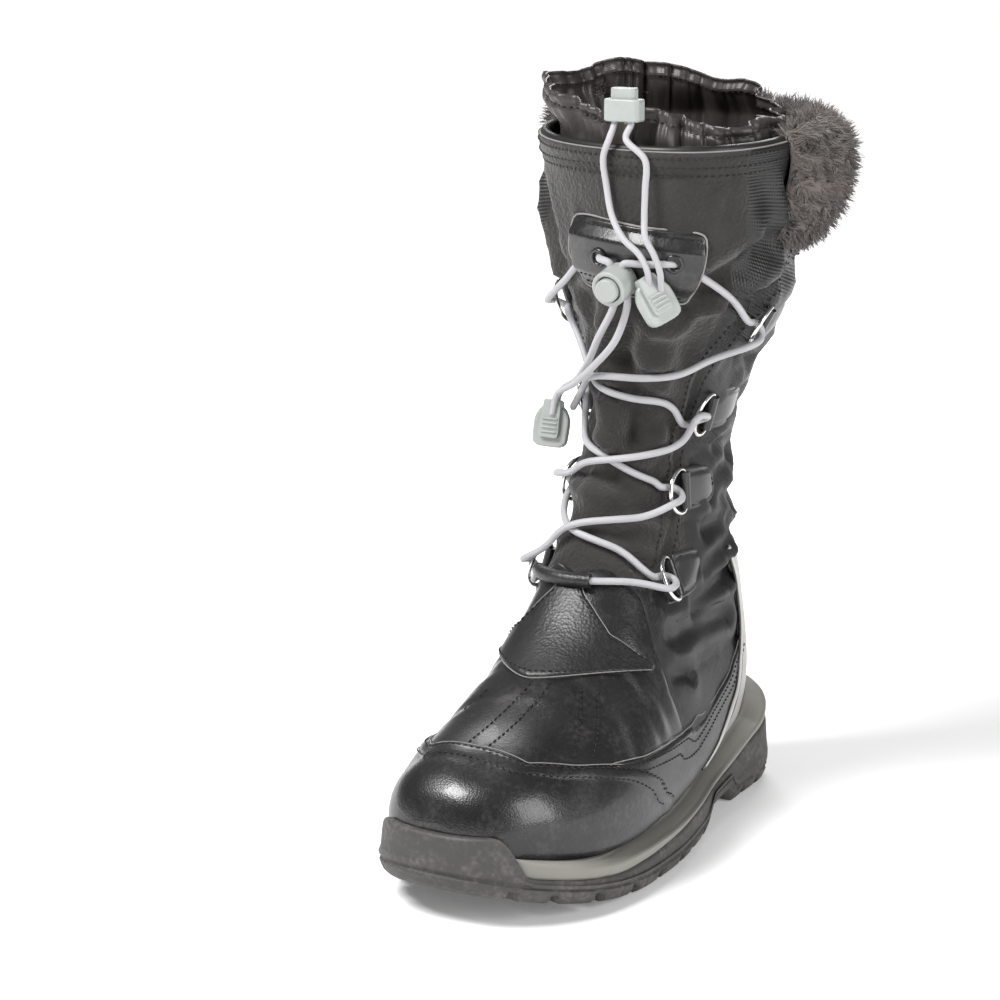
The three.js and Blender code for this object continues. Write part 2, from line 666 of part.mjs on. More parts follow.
// The lace's way through a ring: in over the bow, round, and out under it (or the other way).
const LACE_OVER = 11.2;
const LACE_UNDER = 3.5;
function turnIn(ring, from, order = 1) {
  const way = [
    [RING_NOSE - 3, -4 * from, LACE_OVER], [-3, -2.4 * from, 9.8], [-1.2, 0, 7.2],
    [-3, 2.4 * from, 4.6], [RING_NOSE - 3, 4 * from, LACE_UNDER],
  ].map(([back, rise, lift]) => place(ring, back, rise, lift));
  return order > 0 ? way : way.reverse();
}
const laceLine = (rows) => rows.map(([angle, height, lift]) => onSkin(angle, height, lift));

// The lock the lace ends run through.
const LOCK_RADIUS = 8.4;
const LOCK_BACK = 7.4; // lift of its back face
const LOCK_DEPTH = 13;
const LOCK_CORDS = 3.3; // each cord's distance from its middle
const LOCK_CORD_LIFT = LOCK_BACK + 3.1;
const BUTTON_RADIUS = 5.5;
const BUTTON_HEIGHT = 6.5;
const BUTTON_TRAVEL = 2.8;
const lockSpot = spot(-1, 269);
// This spot is on the inner side, so its back points to the inner side.
const [lockInner, lockOuter] = [LOCK_CORDS, -LOCK_CORDS];

const [R1, R2, R3, R4, M1, M2, M3, M4] = rings;
const lacePoints = [
  place(lockSpot, lockInner, 2, LOCK_CORD_LIFT),
  place(lockSpot, lockInner, 8.5, LOCK_CORD_LIFT),
  ...laceLine([[-10.5, 277.5, 8.6], [-12, 277, 5], [-14, 276.5, 2.7], [-27, 272, 2.4], [-45, 262, 2.6]]),
  ...turnIn(M1, -1),
  ...laceLine([[-58, 231, 3.2], [-42, 219, 3.4], [-16, 211, 3.6], [16, 208, 3.6], [44, 205, 3.2]]),
  ...turnIn(R2, -1, -1),
  ...laceLine([[52, 184, 5.4], [30, 180, 5.6], [14, 178, 5.6], [-8, 174, 5.6], [-24, 167, 4.6]]),
  ...turnIn(M3, -1),
  ...laceLine([[-26, 150, 3], [-10, 144, 3], [8, 140.5, 3], [24, 136, 3]]),
  ...turnIn(R4, 1, -1),
  ...laceLine([[33, 122.5, 4.3]]), ...[...loopLine].reverse(),
  ...turnIn(M4, -1, -1),
  ...laceLine([[-25, 133, 5.4], [-15, 141, 5.8], [-3, 146, 5.8], [18, 149, 5.4], [34, 150, 4.6]]),
  ...turnIn(R3, 1),
  ...laceLine([[38, 166, 3], [24, 171, 3], [6, 178, 2.8], [-16, 183, 2.8], [-38, 190, 3]]),
  ...turnIn(M2, 1, -1),
  ...laceLine([[-46, 210, 5], [-30, 215.5, 5.8], [-10, 219, 5.8]]),
  ...laceLine([[20, 220.5, 5.8], [45, 222, 5.4], [63, 228, 4.6]]),
  ...turnIn(R1, 1),
  ...laceLine([[60, 256, 3], [46, 264, 2.6], [30, 272, 2.5], [21, 276, 3]]),
  ...laceLine([[20, 277, 5.2], [17, 277.5, 8.4], [8, 277, 8.8]]),
  place(lockSpot, lockOuter, 8.5, LOCK_CORD_LIFT),
  place(lockSpot, lockOuter, 2, LOCK_CORD_LIFT),
];
const lace = cord(lacePoints, CORD / 2);
const laceClear = cord(lacePoints, CORD / 2 + GAP, { sides: 6 });
add("lace", toGeometry(lace), materials.cord);

const instep = overlayShell
  .intersect(sideCut([...instepOutline, [160, 85], [170, 100], [140, 150]]))
  .subtract(capBlockWide)
  .add(cord(loopLine, LOOP_LIFT - 0.9))
  .subtract(laceClear)
  .subtract(clearOfUpper);
add("instep_overlay", toGeometry(mainBody(instep)), materials.leather);

// ---------------------------------------------------------------- lace patch
const PATCH_ANGLES = [-29, 34];
const PATCH_HEIGHT = 275;
const PATCH_HALF = 16.5;
const PATCH_SLANT = 6; // its outer side sits lower
const PATCH_TUNNEL = 4.4; // room for the lace behind it
const EYELET = 2.7;
const tunnel = (v) => PATCH_TUNNEL * smooth(0.08, 0.32, v) * (1 - smooth(0.74, 0.95, v));
const patchMap = (u, v, lift) =>
  onSkin(mix(...PATCH_ANGLES, u), PATCH_HEIGHT + (2 * v - 1) * PATCH_HALF - (u - 0.5) * PATCH_SLANT, lift);
let patch = skinSheet(patchMap, 9, 8, (u, v) => GAP + tunnel(v), (u, v) => OVERLAY_LIFT + tunnel(v));
for (const angle of [-12, 20]) {
  const hole = new THREE.CylinderGeometry(EYELET, EYELET, 12, 12).rotateX(Math.PI / 2);
  patch = patch.subtract(inSpot(hole, spot(angle, 277), 0, 0, 6));
}
patch = patch.subtract(laceClear).subtract(clearOfUpper);
add("lace_patch", toGeometry(mainBody(patch)), materials.leather);

// ---------------------------------------------------------------- cord lock and clips
const channel = (s, back, from, to, lift, radius) =>
  cord([place(s, back, from, lift), place(s, back, (from + to) / 2, lift), place(s, back, to, lift)], radius);
const disc = (radius, depth) => new THREE.CylinderGeometry(radius, radius, depth, 18).rotateX(Math.PI / 2);
let lock = inSpot(disc(LOCK_RADIUS, LOCK_DEPTH), lockSpot, 0, 0, LOCK_BACK + LOCK_DEPTH / 2);
const boreFloor = LOCK_BACK + 5.6;
const boreDepth = LOCK_BACK + LOCK_DEPTH - boreFloor + 1;
lock = lock.subtract(inSpot(disc(BUTTON_RADIUS + 0.4, boreDepth), lockSpot, 0, 0, boreFloor + boreDepth / 2));
for (const back of [lockInner, lockOuter])
  lock = lock.subtract(channel(lockSpot, back, -12, 12, LOCK_CORD_LIFT, CORD / 2 + GAP));
add("lace_lock", toGeometry(lock.subtract(laceClear)), materials.plastic);
const buttonLift = boreFloor + 0.4 + BUTTON_TRAVEL + BUTTON_HEIGHT / 2;
const lockButton = inSpot(disc(BUTTON_RADIUS, BUTTON_HEIGHT), lockSpot, 0, 0, buttonLift);
add("lace_lock_button", toGeometry(lockButton), materials.plastic);

// A clip that holds two cord ends: a ribbed block in a rounded shell.
const CLIP = { width: 18, height: 23, depth: 7, ribs: 3, cords: 2.8 };
function clip(s, lift, radius, spin = 0) {
  const [w, h] = [CLIP.width / 2, CLIP.height / 2];
  const outline = new THREE.Shape()
    .moveTo(-w * 0.55, h)
    .lineTo(w * 0.55, h)
    .lineTo(w, h * 0.55)
    .lineTo(w, -h * 0.5)
    .quadraticCurveTo(w * 0.95, -h, w * 0.3, -h)
    .lineTo(-w * 0.3, -h)
    .quadraticCurveTo(-w * 0.95, -h, -w, -h * 0.5)
    .lineTo(-w, h * 0.55)
    .closePath();
  const body = new THREE.ExtrudeGeometry(outline, {
    depth: CLIP.depth - 2, bevelEnabled: true, bevelThickness: 1, bevelSize: 0.8, bevelOffset: -0.8,
    bevelSegments: 1, curveSegments: 3,
  }).translate(0, 0, 1 - CLIP.depth / 2);
  let solid = inSpot(body, s, 0, 0, lift, spin);
  for (let i = 0; i < CLIP.ribs; i++) {
    const rib = new THREE.BoxGeometry(CLIP.width * 0.5, 1, 1.6).translate(0, -1 - i * 2.4, CLIP.depth / 2);
    solid = solid.add(inSpot(rib, s, 0, 0, lift, spin));
  }
  return solid;
}

const laceClipSpot = spot(-42, 185);
const LACE_CLIP_LIFT = 19;
const endLine = (start, rows, finish) => [
  place(lockSpot, start, -3, LOCK_CORD_LIFT),
  place(lockSpot, start, -10, LOCK_CORD_LIFT),
  ...laceLine(rows),
  place(laceClipSpot, finish, 14, LACE_CLIP_LIFT),
  place(laceClipSpot, finish, 5, LACE_CLIP_LIFT),
];
const innerEnd = endLine(lockInner, [[-12, 240, 11], [-20, 228, 10.6], [-30, 216, 11.5]], CLIP.cords);
const outerEnd = endLine(lockOuter, [[0, 242, 12.5], [-10, 229, 15], [-22, 216, 15.5]], -CLIP.cords);
add("lace_end_left", toGeometry(cord(innerEnd, CORD / 2)), materials.cord);
add("lace_end_right", toGeometry(cord(outerEnd, CORD / 2)), materials.cord);
const laceClip = clip(laceClipSpot, LACE_CLIP_LIFT)
  .subtract(cord(innerEnd, CORD / 2 + GAP))
  .subtract(cord(outerEnd, CORD / 2 + GAP))
  .subtract(channel(laceClipSpot, CLIP.cords, 4, 6, LACE_CLIP_LIFT, CORD / 2 + GAP))
  .subtract(channel(laceClipSpot, -CLIP.cords, 4, 6, LACE_CLIP_LIFT, CORD / 2 + GAP));
add("lace_clip", toGeometry(mainBody(laceClip)), materials.plastic);

// ---------------------------------------------------------------- snow cuff and its drawcord
const CUFF_FOOT = SHAFT_HEIGHT - 42;
const CUFF_SIDES = 48;
const CUFF_FOLDS = 12;
const CUFF_FOLD_DEPTH = 1.7;
const CUFF_LEAN = 6;
const CUFF_SPREAD = 15; // outwards, over the collar, on the inner side
const CUFF_SPREAD_AT = -75;
const CUFF_CLOTH = 2;
const cuffTop = (angle) =>
  SHAFT_HEIGHT + 14 - 9 * Math.sin(angle * degrees) - 4 * Math.cos(angle * degrees);
const cuffLevels = [0, 0.5, 0.64, 0.78, 0.9, 1];
function cuffRing(level, thickness) {
  return Array.from({ length: CUFF_SIDES }, (_, i) => {
    const angle = -180 + (360 * i) / CUFF_SIDES;
    const height = mix(CUFF_FOOT, cuffTop(angle), level);
    const spread = CUFF_SPREAD * clamp01(Math.cos((angle - CUFF_SPREAD_AT) * degrees)) ** 1.5;
    const lean = (CUFF_LEAN - spread) * smooth(SHAFT_HEIGHT - 2, SHAFT_HEIGHT + 12, height);
    const fold = CUFF_FOLD_DEPTH * (1 - Math.cos(CUFF_FOLDS * angle * degrees)) * level ** 2;
    return onSkin(angle, height, -(WALL + 1.6 + lean + fold + thickness));
  });
}
const cuff = toSolid(
  loft(
    [...cuffLevels.map((l) => cuffRing(l, 0)), ...cuffLevels.toReversed().map((l) => cuffRing(l, CUFF_CLOTH))],
    true,
  ),
);
add("snow_cuff", toGeometry(cuff), materials.nylon);

// Fur rim: thickness over the skin against height, from its hem to its top.
const furProfile = table(
  ["height", "lift"],
  [[271, 3], [280, 11], [296, 18], [314, 23], [331, 23], [343, 7]],
);
const FUR_FROM = 101;
const FUR_TO = 257;
const FUR_STEPS = 13;
const furRings = Array.from({ length: FUR_STEPS + 1 }, (_, i) => {
  const t = i / FUR_STEPS;
  const angle = mix(FUR_FROM, FUR_TO, t);
  const swell = 0.45 + 0.55 * Math.min(1, Math.sin(Math.PI * t) * 2.2) ** 0.7;
  const wrapped = angle > 180 ? angle - 360 : angle;
  const middle = 307;
  const point = (height, lift) => onSkin(wrapped, mix(middle, height, mix(0.8, 1, swell)), lift);
  return [
    ...furProfile.map((row) => point(row.height, GAP + row.lift * swell)),
    ...furProfile.toReversed().map((row) => point(row.height, GAP)),
  ];
});
add("fur_cuff", toGeometry(mainBody(toSolid(loft(furRings)).subtract(clearOfUpper))), materials.fur);

const DRAWCORD = 3;
const drawLock = { x: 10, forward: 97.6, up: 343, width: 18, depth: 9, height: 11, cords: 4.2 };
const block = (w, d, h, radius) => {
  const [x, y] = [w / 2, d / 2];
  const outline = new THREE.Shape()
    .moveTo(-x + radius, -y)
    .lineTo(x - radius, -y)
    .quadraticCurveTo(x, -y, x, -y + radius)
    .lineTo(x, y - radius)
    .quadraticCurveTo(x, y, x - radius, y)
    .lineTo(-x + radius, y)
    .quadraticCurveTo(-x, y, -x, y - radius)
    .lineTo(-x, -y + radius)
    .quadraticCurveTo(-x, -y, -x + radius, -y);
  return new THREE.ExtrudeGeometry(outline, { depth: h, bevelEnabled: false, curveSegments: 3 });
};
const drawAt = (dx, df, dz) => new THREE.Vector3(drawLock.x + dx, -(drawLock.forward + df), drawLock.up + dz);
const lockBottom = -drawLock.height / 2;
const drawBore = 6.4;
const drawButton = { width: 12.5, depth: 5.6, height: 6.8, travel: 2.6 };
const drawFloor = -lockBottom - drawBore;
const DRAW_LOCK_ROUND = 2.5;
const drawBlock = block(drawLock.width, drawLock.depth, drawLock.height, DRAW_LOCK_ROUND);
let drawBody = toSolid(drawBlock.translate(...drawAt(0, 0, lockBottom).toArray()));
drawBody = drawBody.subtract(
  toSolid(
    block(drawButton.width + 0.8, drawButton.depth + 0.8, drawBore + 1, 2.6).translate(
      ...drawAt(0, 0, drawFloor).toArray(),
    ),
  ),
);
const drawRows = {
  left: [[-11, 322, 4.5], [-9.5, 309, 4.5], [-6, 297, 7], [0, 288, 11.5], [7, 282, 13]],
  right: [[3, 322, 4.5], [4, 309, 4.5], [5.5, 297, 7], [8, 289, 11.5], [12, 283, 13]],
};
const drawClipSpot = spot(15.5, 264);
const DRAW_CLIP_LIFT = 12.8;
for (const [name, side] of [["left", -1], ["right", 1]]) {
  const dx = side * drawLock.cords;
  const line = [
    drawAt(dx, 0.4, lockBottom + 3.2),
    drawAt(dx, 1.4, lockBottom - 1),
    drawAt(dx, 6, lockBottom - 7),
    ...laceLine(drawRows[name]),
    place(drawClipSpot, side * CLIP.cords, 13.5, DRAW_CLIP_LIFT),
    place(drawClipSpot, side * CLIP.cords, 5, DRAW_CLIP_LIFT),
  ];
  add(`drawcord_${name}`, toGeometry(cord(line, DRAWCORD / 2)), materials.cord);
  drawLock[name] = line;
  drawBody = drawBody.subtract(cord(line, DRAWCORD / 2 + GAP));
}
const drawClip = clip(drawClipSpot, DRAW_CLIP_LIFT)
  .subtract(cord(drawLock.left, DRAWCORD / 2 + GAP))
  .subtract(cord(drawLock.right, DRAWCORD / 2 + GAP))
  .subtract(channel(drawClipSpot, CLIP.cords, 4, 6, DRAW_CLIP_LIFT, DRAWCORD / 2 + GAP))
  .subtract(channel(drawClipSpot, -CLIP.cords, 4, 6, DRAW_CLIP_LIFT, DRAWCORD / 2 + GAP));
const DRAW_BORE_RISES = [2, 3, 3.6]; // the top of each cord's bore, above the lock's bottom
drawBody = drawBody
  .subtract(cord(DRAW_BORE_RISES.map((rise) => drawAt(-drawLock.cords, 0.4, lockBottom + rise)), DRAWCORD / 2 + GAP))
  .subtract(cord(DRAW_BORE_RISES.map((rise) => drawAt(drawLock.cords, 0.4, lockBottom + rise)), DRAWCORD / 2 + GAP));
add("drawcord_lock", toGeometry(mainBody(drawBody)), materials.plastic);
add("drawcord_clip", toGeometry(mainBody(drawClip)), materials.plastic);
const drawButtonSolid = block(drawButton.width, drawButton.depth, drawButton.height, 2.4).translate(
  ...drawAt(0, 0, drawFloor + 0.4 + drawButton.travel).toArray(),
);
add("drawcord_lock_button", toGeometry(toSolid(drawButtonSolid)), materials.plastic);

export default group;
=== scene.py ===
# %% [markdown]
# # A snow boot
# The boot is built piece by piece, as a maker would cut, stitch and lace it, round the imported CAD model.
# The CAD model holds true sizes, so every place below is worked out from it or from the same table of
# sections of the last (the foot-shaped form a boot is made on).

import math

import bmesh
import bpy
import numpy as np
from mathutils import Matrix, Vector
from mathutils.kdtree import KDTree


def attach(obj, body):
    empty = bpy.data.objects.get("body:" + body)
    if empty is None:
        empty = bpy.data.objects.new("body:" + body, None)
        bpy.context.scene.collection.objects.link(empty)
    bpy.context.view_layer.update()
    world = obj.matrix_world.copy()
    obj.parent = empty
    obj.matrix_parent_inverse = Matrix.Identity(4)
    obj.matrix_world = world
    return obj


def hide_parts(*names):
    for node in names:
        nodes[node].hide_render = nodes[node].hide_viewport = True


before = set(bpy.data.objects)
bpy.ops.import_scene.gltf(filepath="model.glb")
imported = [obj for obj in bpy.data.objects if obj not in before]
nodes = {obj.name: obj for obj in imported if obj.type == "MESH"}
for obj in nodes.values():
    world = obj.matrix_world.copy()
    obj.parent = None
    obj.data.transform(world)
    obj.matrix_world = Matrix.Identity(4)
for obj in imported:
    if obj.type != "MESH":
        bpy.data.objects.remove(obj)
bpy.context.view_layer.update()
BODY = "boot"
MM = 0.001

# %% [markdown]
# ## Camera, floor and light
# The camera stands in front of the boot, a little to the outer side and above it.
# A long lens keeps the boot's proportions. The light is a big soft box from the front left, a weaker one from
# the right and a bright surround, so the black leather shows soft, wide highlights.

# %% Camera
CAMERA_AZIMUTH = math.radians(31.2)
CAMERA_PITCH = math.radians(13.2)
CAMERA_DISTANCE = 1.298
CAMERA_LENS = 98.9
CAMERA_TARGET = Vector((-0.0510, -0.1044, 0.1572))
toward_camera = Vector(
    (
        math.sin(CAMERA_AZIMUTH) * math.cos(CAMERA_PITCH),
        -math.cos(CAMERA_AZIMUTH) * math.cos(CAMERA_PITCH),
        math.sin(CAMERA_PITCH),
    )
)
camera_data = bpy.data.cameras.new("camera")
camera_data.lens = CAMERA_LENS
camera_data.sensor_width = 36
camera = bpy.data.objects.new("camera", camera_data)
bpy.context.collection.objects.link(camera)
camera.location = CAMERA_TARGET + toward_camera * CAMERA_DISTANCE
camera.rotation_euler = toward_camera.to_track_quat("Z", "Y").to_euler()
bpy.context.scene.camera = camera


# %% Lights
def soft_box(name, place, size, power, target=(0, -0.08, 0.15)):
    data = bpy.data.lights.new(name, "AREA")
    data.shape = "RECTANGLE"
    data.size, data.size_y = size
    data.energy = power
    lamp = bpy.data.objects.new(name, data)
    bpy.context.collection.objects.link(lamp)
    lamp.location = place
    lamp.rotation_euler = (Vector(place) - Vector(target)).to_track_quat("Z", "Y").to_euler()


soft_box("key", (-0.6, -1.0, 1.6), (0.7, 0.7), 46)
soft_box("fill", (1.6, -0.4, 0.8), (0.7, 1.2), 20)
soft_box("rim", (-0.6, 1.2, 1.2), (1.0, 0.7), 16)
world = bpy.data.worlds.new("studio")
bpy.context.scene.world = world
world.use_nodes = True
world.node_tree.nodes["Background"].inputs["Color"].default_value = (1, 1, 1, 1)
WORLD_LIGHT = 0.20
lamp_tree = world.node_tree
seen = lamp_tree.nodes.new("ShaderNodeLightPath").outputs["Is Camera Ray"]
strength = lamp_tree.nodes.new("ShaderNodeMapRange")
strength.inputs["To Min"].default_value = WORLD_LIGHT
strength.inputs["To Max"].default_value = 1.0
lamp_tree.links.new(seen, strength.inputs["Value"])
lamp_tree.links.new(strength.outputs[0], lamp_tree.nodes["Background"].inputs["Strength"])
bpy.context.scene.view_settings.view_transform = "Standard"

# %% Floor
# The floor glows: painted light, dim near the boot so its shadow shows and bright far off, where it fades
# into the white backdrop.
FLOOR_NEAR, FLOOR_FAR = 0.2, 0.75  # metres from the boot over which the floor brightens
FLOOR_DIM, FLOOR_BRIGHT = 0.12, 0.9
floor_bm = bmesh.new()
bmesh.ops.create_grid(floor_bm, x_segments=1, y_segments=1, size=6)
floor_mesh = bpy.data.meshes.new("floor")
floor_bm.to_mesh(floor_mesh)
floor = bpy.data.objects.new("floor", floor_mesh)
bpy.context.collection.objects.link(floor)
floor_paint = bpy.data.materials.new("floor_paint")
floor_paint.use_nodes = True
floor_shader = floor_paint.node_tree.nodes["Principled BSDF"]
floor_shader.inputs["Base Color"].default_value = (0.93, 0.93, 0.93, 1)
floor_shader.inputs["Roughness"].default_value = 0.9
floor_tree = floor_paint.node_tree
distance = floor_tree.nodes.new("ShaderNodeVectorMath")
distance.operation = "LENGTH"
floor_tree.links.new(floor_tree.nodes.new("ShaderNodeTexCoord").outputs["Object"], distance.inputs[0])
far = floor_tree.nodes.new("ShaderNodeMapRange")
far.interpolation_type = "SMOOTHSTEP"
for socket, value in (
    ("From Min", FLOOR_NEAR), ("From Max", FLOOR_FAR), ("To Min", FLOOR_DIM), ("To Max", FLOOR_BRIGHT)
):
    far.inputs[socket].default_value = value
floor_tree.links.new(distance.outputs["Value"], far.inputs["Value"])
floor_tree.links.new(far.outputs[0], floor_shader.inputs["Emission Strength"])
floor_shader.inputs["Emission Color"].default_value = (1, 1, 1, 1)
floor.data.materials.append(floor_paint)

# %% [markdown]
# ## The last
# The boot's skin is a stack of sections. Each row gives the section's front and back points, its half widths
# and its roundness, as shares of the sole's length, the ball's width and the shaft's height. Any place on the
# boot is then an angle round the section and a height up the shaft, and a lift off the skin.

# %% Sections of the last
SOLE_LENGTH = 277.0
BALL_WIDTH = 108.0
SHAFT_HEIGHT = 330.0
WALL = 5.0
GAP = 0.35
OVERLAY = 1.7
CORD = 3.4
WIRE = 2.2
COLUMNS = [
    "top_forward", "top_up", "top_side", "base_forward", "base_up", "base_side",
    "medial", "lateral", "middle", "crown", "seat",
]
LAST_SHARES = [
    (84.6, 11.2, -5.6, 84.6, 10, -5.6, 1.9, 1.9, 50, 2, 2),
    (84.1, 14.3, -5.6, 84.1, 7.6, -5.6, 12.2, 13.2, 40, 2.1, 2.4),
    (82.4, 17.3, -5.6, 82.3, 6.8, -5.6, 21.8, 24.2, 36, 2.2, 2.8),
    (78.6, 19.6, -5.6, 78.2, 6.2, -5.6, 30, 33.8, 34, 2.3, 3.4),
    (72.3, 21.2, -5.6, 72.6, 5.8, -4.6, 35.6, 42.2, 34, 2.3, 4),
    (63.8, 23.3, -6.5, 64.2, 5.3, -2.8, 39.6, 48.3, 34, 2.2, 4.5),
    (54.5, 26.8, -7.4, 55.6, 5.2, -1.4, 40.7, 50.5, 33, 2.1, 4.5),
    (46.9, 30.9, -8.3, 45.8, 5.6, -0.5, 39.4, 49.1, 32, 2.05, 4.5),
    (40.8, 35.8, -9.3, 35, 6.4, 0, 37, 45.4, 31, 2.05, 4.5),
    (35.7, 40.6, -10.2, 23.1, 7.3, 0, 34.7, 40.7, 33, 2.1, 4.2),
    (32.1, 45.5, -11.1, 10.8, 8, 0, 32.4, 35.6, 36, 2.1, 3.6),
    (29.6, 50.3, -11.1, -0.7, 8.8, 0, 29.6, 31.5, 40, 2.1, 3),
    (28.2, 55.2, -9.3, -9.2, 13.6, -1.9, 27.8, 27.8, 44, 2.1, 2.5),
    (27.8, 60, -6.5, -10.6, 25.5, -4.6, 26.4, 25, 47, 2.1, 2.25),
    (28.2, 65.5, -0.9, -9.1, 39.4, -9.3, 25.9, 24.1, 49, 2.1, 2.15),
    (31.2, 73.3, 6.6, -7.9, 55.2, -11.1, 33.3, 30.6, 50, 2.15, 2.1),
    (35.2, 84.8, 14.5, -13.7, 75.8, -5.6, 55.6, 49.1, 50, 2.2, 2.1),
    (36.5, 98.5, 19.5, -17.3, 100, -7.4, 68.5, 51.9, 50, 2.25, 2.1),
]
SCALES = [
    SOLE_LENGTH, SHAFT_HEIGHT, BALL_WIDTH, SOLE_LENGTH, SHAFT_HEIGHT, BALL_WIDTH,
    BALL_WIDTH, BALL_WIDTH, 1, 100, 100,
]
LAST = np.array(LAST_SHARES) * np.array(SCALES) / 100
COLLAR = len(LAST) - 1


# %% Points on the skin
def section(row):
    """The last's columns at fractional section numbers, on a smooth curve through the rows."""
    row = np.asarray(row, float)
    i = np.clip(np.floor(row).astype(int), 0, COLLAR - 1)
    t = (row - i)[..., None]
    a, b, c, d = (LAST[np.clip(i + k, 0, COLLAR)] for k in (-1, 0, 1, 2))
    values = 0.5 * (
        2 * b + (c - a) * t + (2 * a - 5 * b + 4 * c - d) * t**2 + (3 * b - a - 3 * c + d) * t**3
    )
    return {name: values[..., k] for k, name in enumerate(COLUMNS)}


def signed_power(value, exponent):
    return np.sign(value) * np.abs(value) ** exponent


def skin(row, angle):
    """A point of the skin in millimetres. The angle is 0 at the front and positive on the outer side."""
    row, angle = np.broadcast_arrays(np.asarray(row, float), np.asarray(angle, float))
    s = section(row)
    front = np.cos(angle) >= 0
    roundness = 2 / np.where(front, s["crown"], s["seat"])
    reach = signed_power(np.cos(angle), roundness)
    rise = np.where(front, s["middle"] + (1 - s["middle"]) * reach, s["middle"] * (1 + reach))
    half = np.where(angle < 0, s["medial"], s["lateral"])
    lean = s["top_side"] - s["base_side"]
    side = s["base_side"] + lean * rise + half * signed_power(np.sin(angle), roundness)
    forward = s["base_forward"] + (s["top_forward"] - s["base_forward"]) * rise
    up = s["base_up"] + (s["top_up"] - s["base_up"]) * rise
    return np.stack([side, -forward, up], -1)


def skin_normal(row, angle):
    up = skin(np.minimum(COLLAR, row + 0.06), angle) - skin(np.maximum(0.001, row - 0.06), angle)
    around = skin(row, angle + 0.05) - skin(row, angle - 0.05)
    normal = np.cross(around, up)
    return normal / np.linalg.norm(normal, axis=-1, keepdims=True)


def skin_at(row, angle, lift):
    return skin(row, angle) + skin_normal(row, angle) * np.asarray(lift, float)[..., None]


def row_at(angle, height):
    low = np.full(np.broadcast(angle, height).shape, 3.5)
    high = np.full_like(low, COLLAR)
    for _ in range(22):
        middle = (low + high) / 2
        below = skin(middle, angle)[..., 2] < height
        low = np.where(below, middle, low)
        high = np.where(below, high, middle)
    return low


def on_skin(angle_degrees, height, lift=0.0):
    """A point at an angle and a height. Above the collar it goes straight up."""
    angle_degrees, height, lift = np.broadcast_arrays(
        *(np.asarray(v, float) for v in (angle_degrees, height, lift))
    )
    angle = np.radians(angle_degrees)
    over = np.maximum(0, height - skin(COLLAR, angle)[..., 2])
    point = skin_at(row_at(angle, height), angle, lift)
    point[..., 2] += over
    return point


def spot(angle, height):
    """Local axes on the skin: along runs level to the back of the boot, up runs up it and out off it."""
    side = -1 if angle < 0 else 1
    step = 1.5
    centre = on_skin(angle, height)
    ahead = on_skin(angle + side * step, height) - centre
    along = ahead / np.linalg.norm(ahead)
    out = on_skin(angle, height, 1.0) - centre
    out = out - along * out.dot(along)
    out = out / np.linalg.norm(out)
    up = -side * np.cross(out, along)
    up = up * (1 if up[2] > 0 else -1)
    return dict(
        centre=centre, along=along, up=up, out=out, side=side,
        per_mm=side * step / np.linalg.norm(ahead), angle=angle, height=height,
    )


def place(s, back, rise, lift):
    back, rise, lift = (np.asarray(v, float)[..., None] for v in (back, rise, lift))
    return s["centre"] + s["along"] * back + s["up"] * rise + s["out"] * lift


print("collar front", on_skin(0, 325).round(1), "back", on_skin(180, 330).round(1))

# %% [markdown]
# ## Materials
# Each finish is a Principled shader with procedural detail. Fine grain, weave and dust are node groups that
# several finishes share: they put out masks and heights, and each material decides how strong they are.

# %% Shared effects
VALUE = "NodeSocketFloat"


def effect(name, inputs, output):
    """An empty node group with named inputs and one output."""
    tree = bpy.data.node_groups.new(name, "ShaderNodeTree")
    for label, kind, value in inputs:
        tree.interface.new_socket(label, in_out="INPUT", socket_type=kind).default_value = value
    tree.interface.new_socket(output, in_out="OUTPUT", socket_type=VALUE)
    return tree, tree.nodes.new("NodeGroupInput"), tree.nodes.new("NodeGroupOutput")


def node(tree, kind, inputs=None, **settings):
    made = tree.nodes.new(kind)
    for key, value in settings.items():
        setattr(made, key, value)
    for key, value in (inputs or {}).items():
        socket = made.inputs[key]
        if isinstance(value, bpy.types.NodeSocket):
            tree.links.new(value, socket)
        else:
            socket.default_value = value
    return made


def maths(tree, operation, a, b=0.0):
    return node(tree, "ShaderNodeMath", {0: a, 1: b}, operation=operation).outputs[0]


def grain_effect():
    tree, inside, outside = effect("leather_grain", [("Scale", VALUE, 900.0)], "Height")
    place_in = node(tree, "ShaderNodeTexCoord").outputs["Object"]
    cells = node(tree, "ShaderNodeTexVoronoi", {"Vector": place_in, "Scale": inside.outputs["Scale"]})
    soft = node(tree, "ShaderNodeTexNoise", {"Vector": place_in, "Scale": 60.0, "Detail": 6.0})
    fine = maths(tree, "MULTIPLY", cells.outputs["Distance"], 0.6)
    tree.links.new(maths(tree, "ADD", fine, soft.outputs["Fac"]), outside.inputs["Height"])
    return tree


def weave_effect():
    tree, inside, outside = effect(
        "fabric_rib", [("Ribs", VALUE, 900.0), ("Threads", VALUE, 700.0)], "Height"
    )
    uv = node(tree, "ShaderNodeUVMap", uv_map="surface").outputs["UV"]
    parts = node(tree, "ShaderNodeSeparateXYZ", {"Vector": uv})
    rib = maths(tree, "SINE", maths(tree, "MULTIPLY", parts.outputs["Y"], inside.outputs["Ribs"]))
    thread = maths(tree, "SINE", maths(tree, "MULTIPLY", parts.outputs["X"], inside.outputs["Threads"]))
    both = maths(tree, "ADD", rib, maths(tree, "MULTIPLY", thread, 0.6))
    tree.links.new(both, outside.inputs["Height"])
    return tree


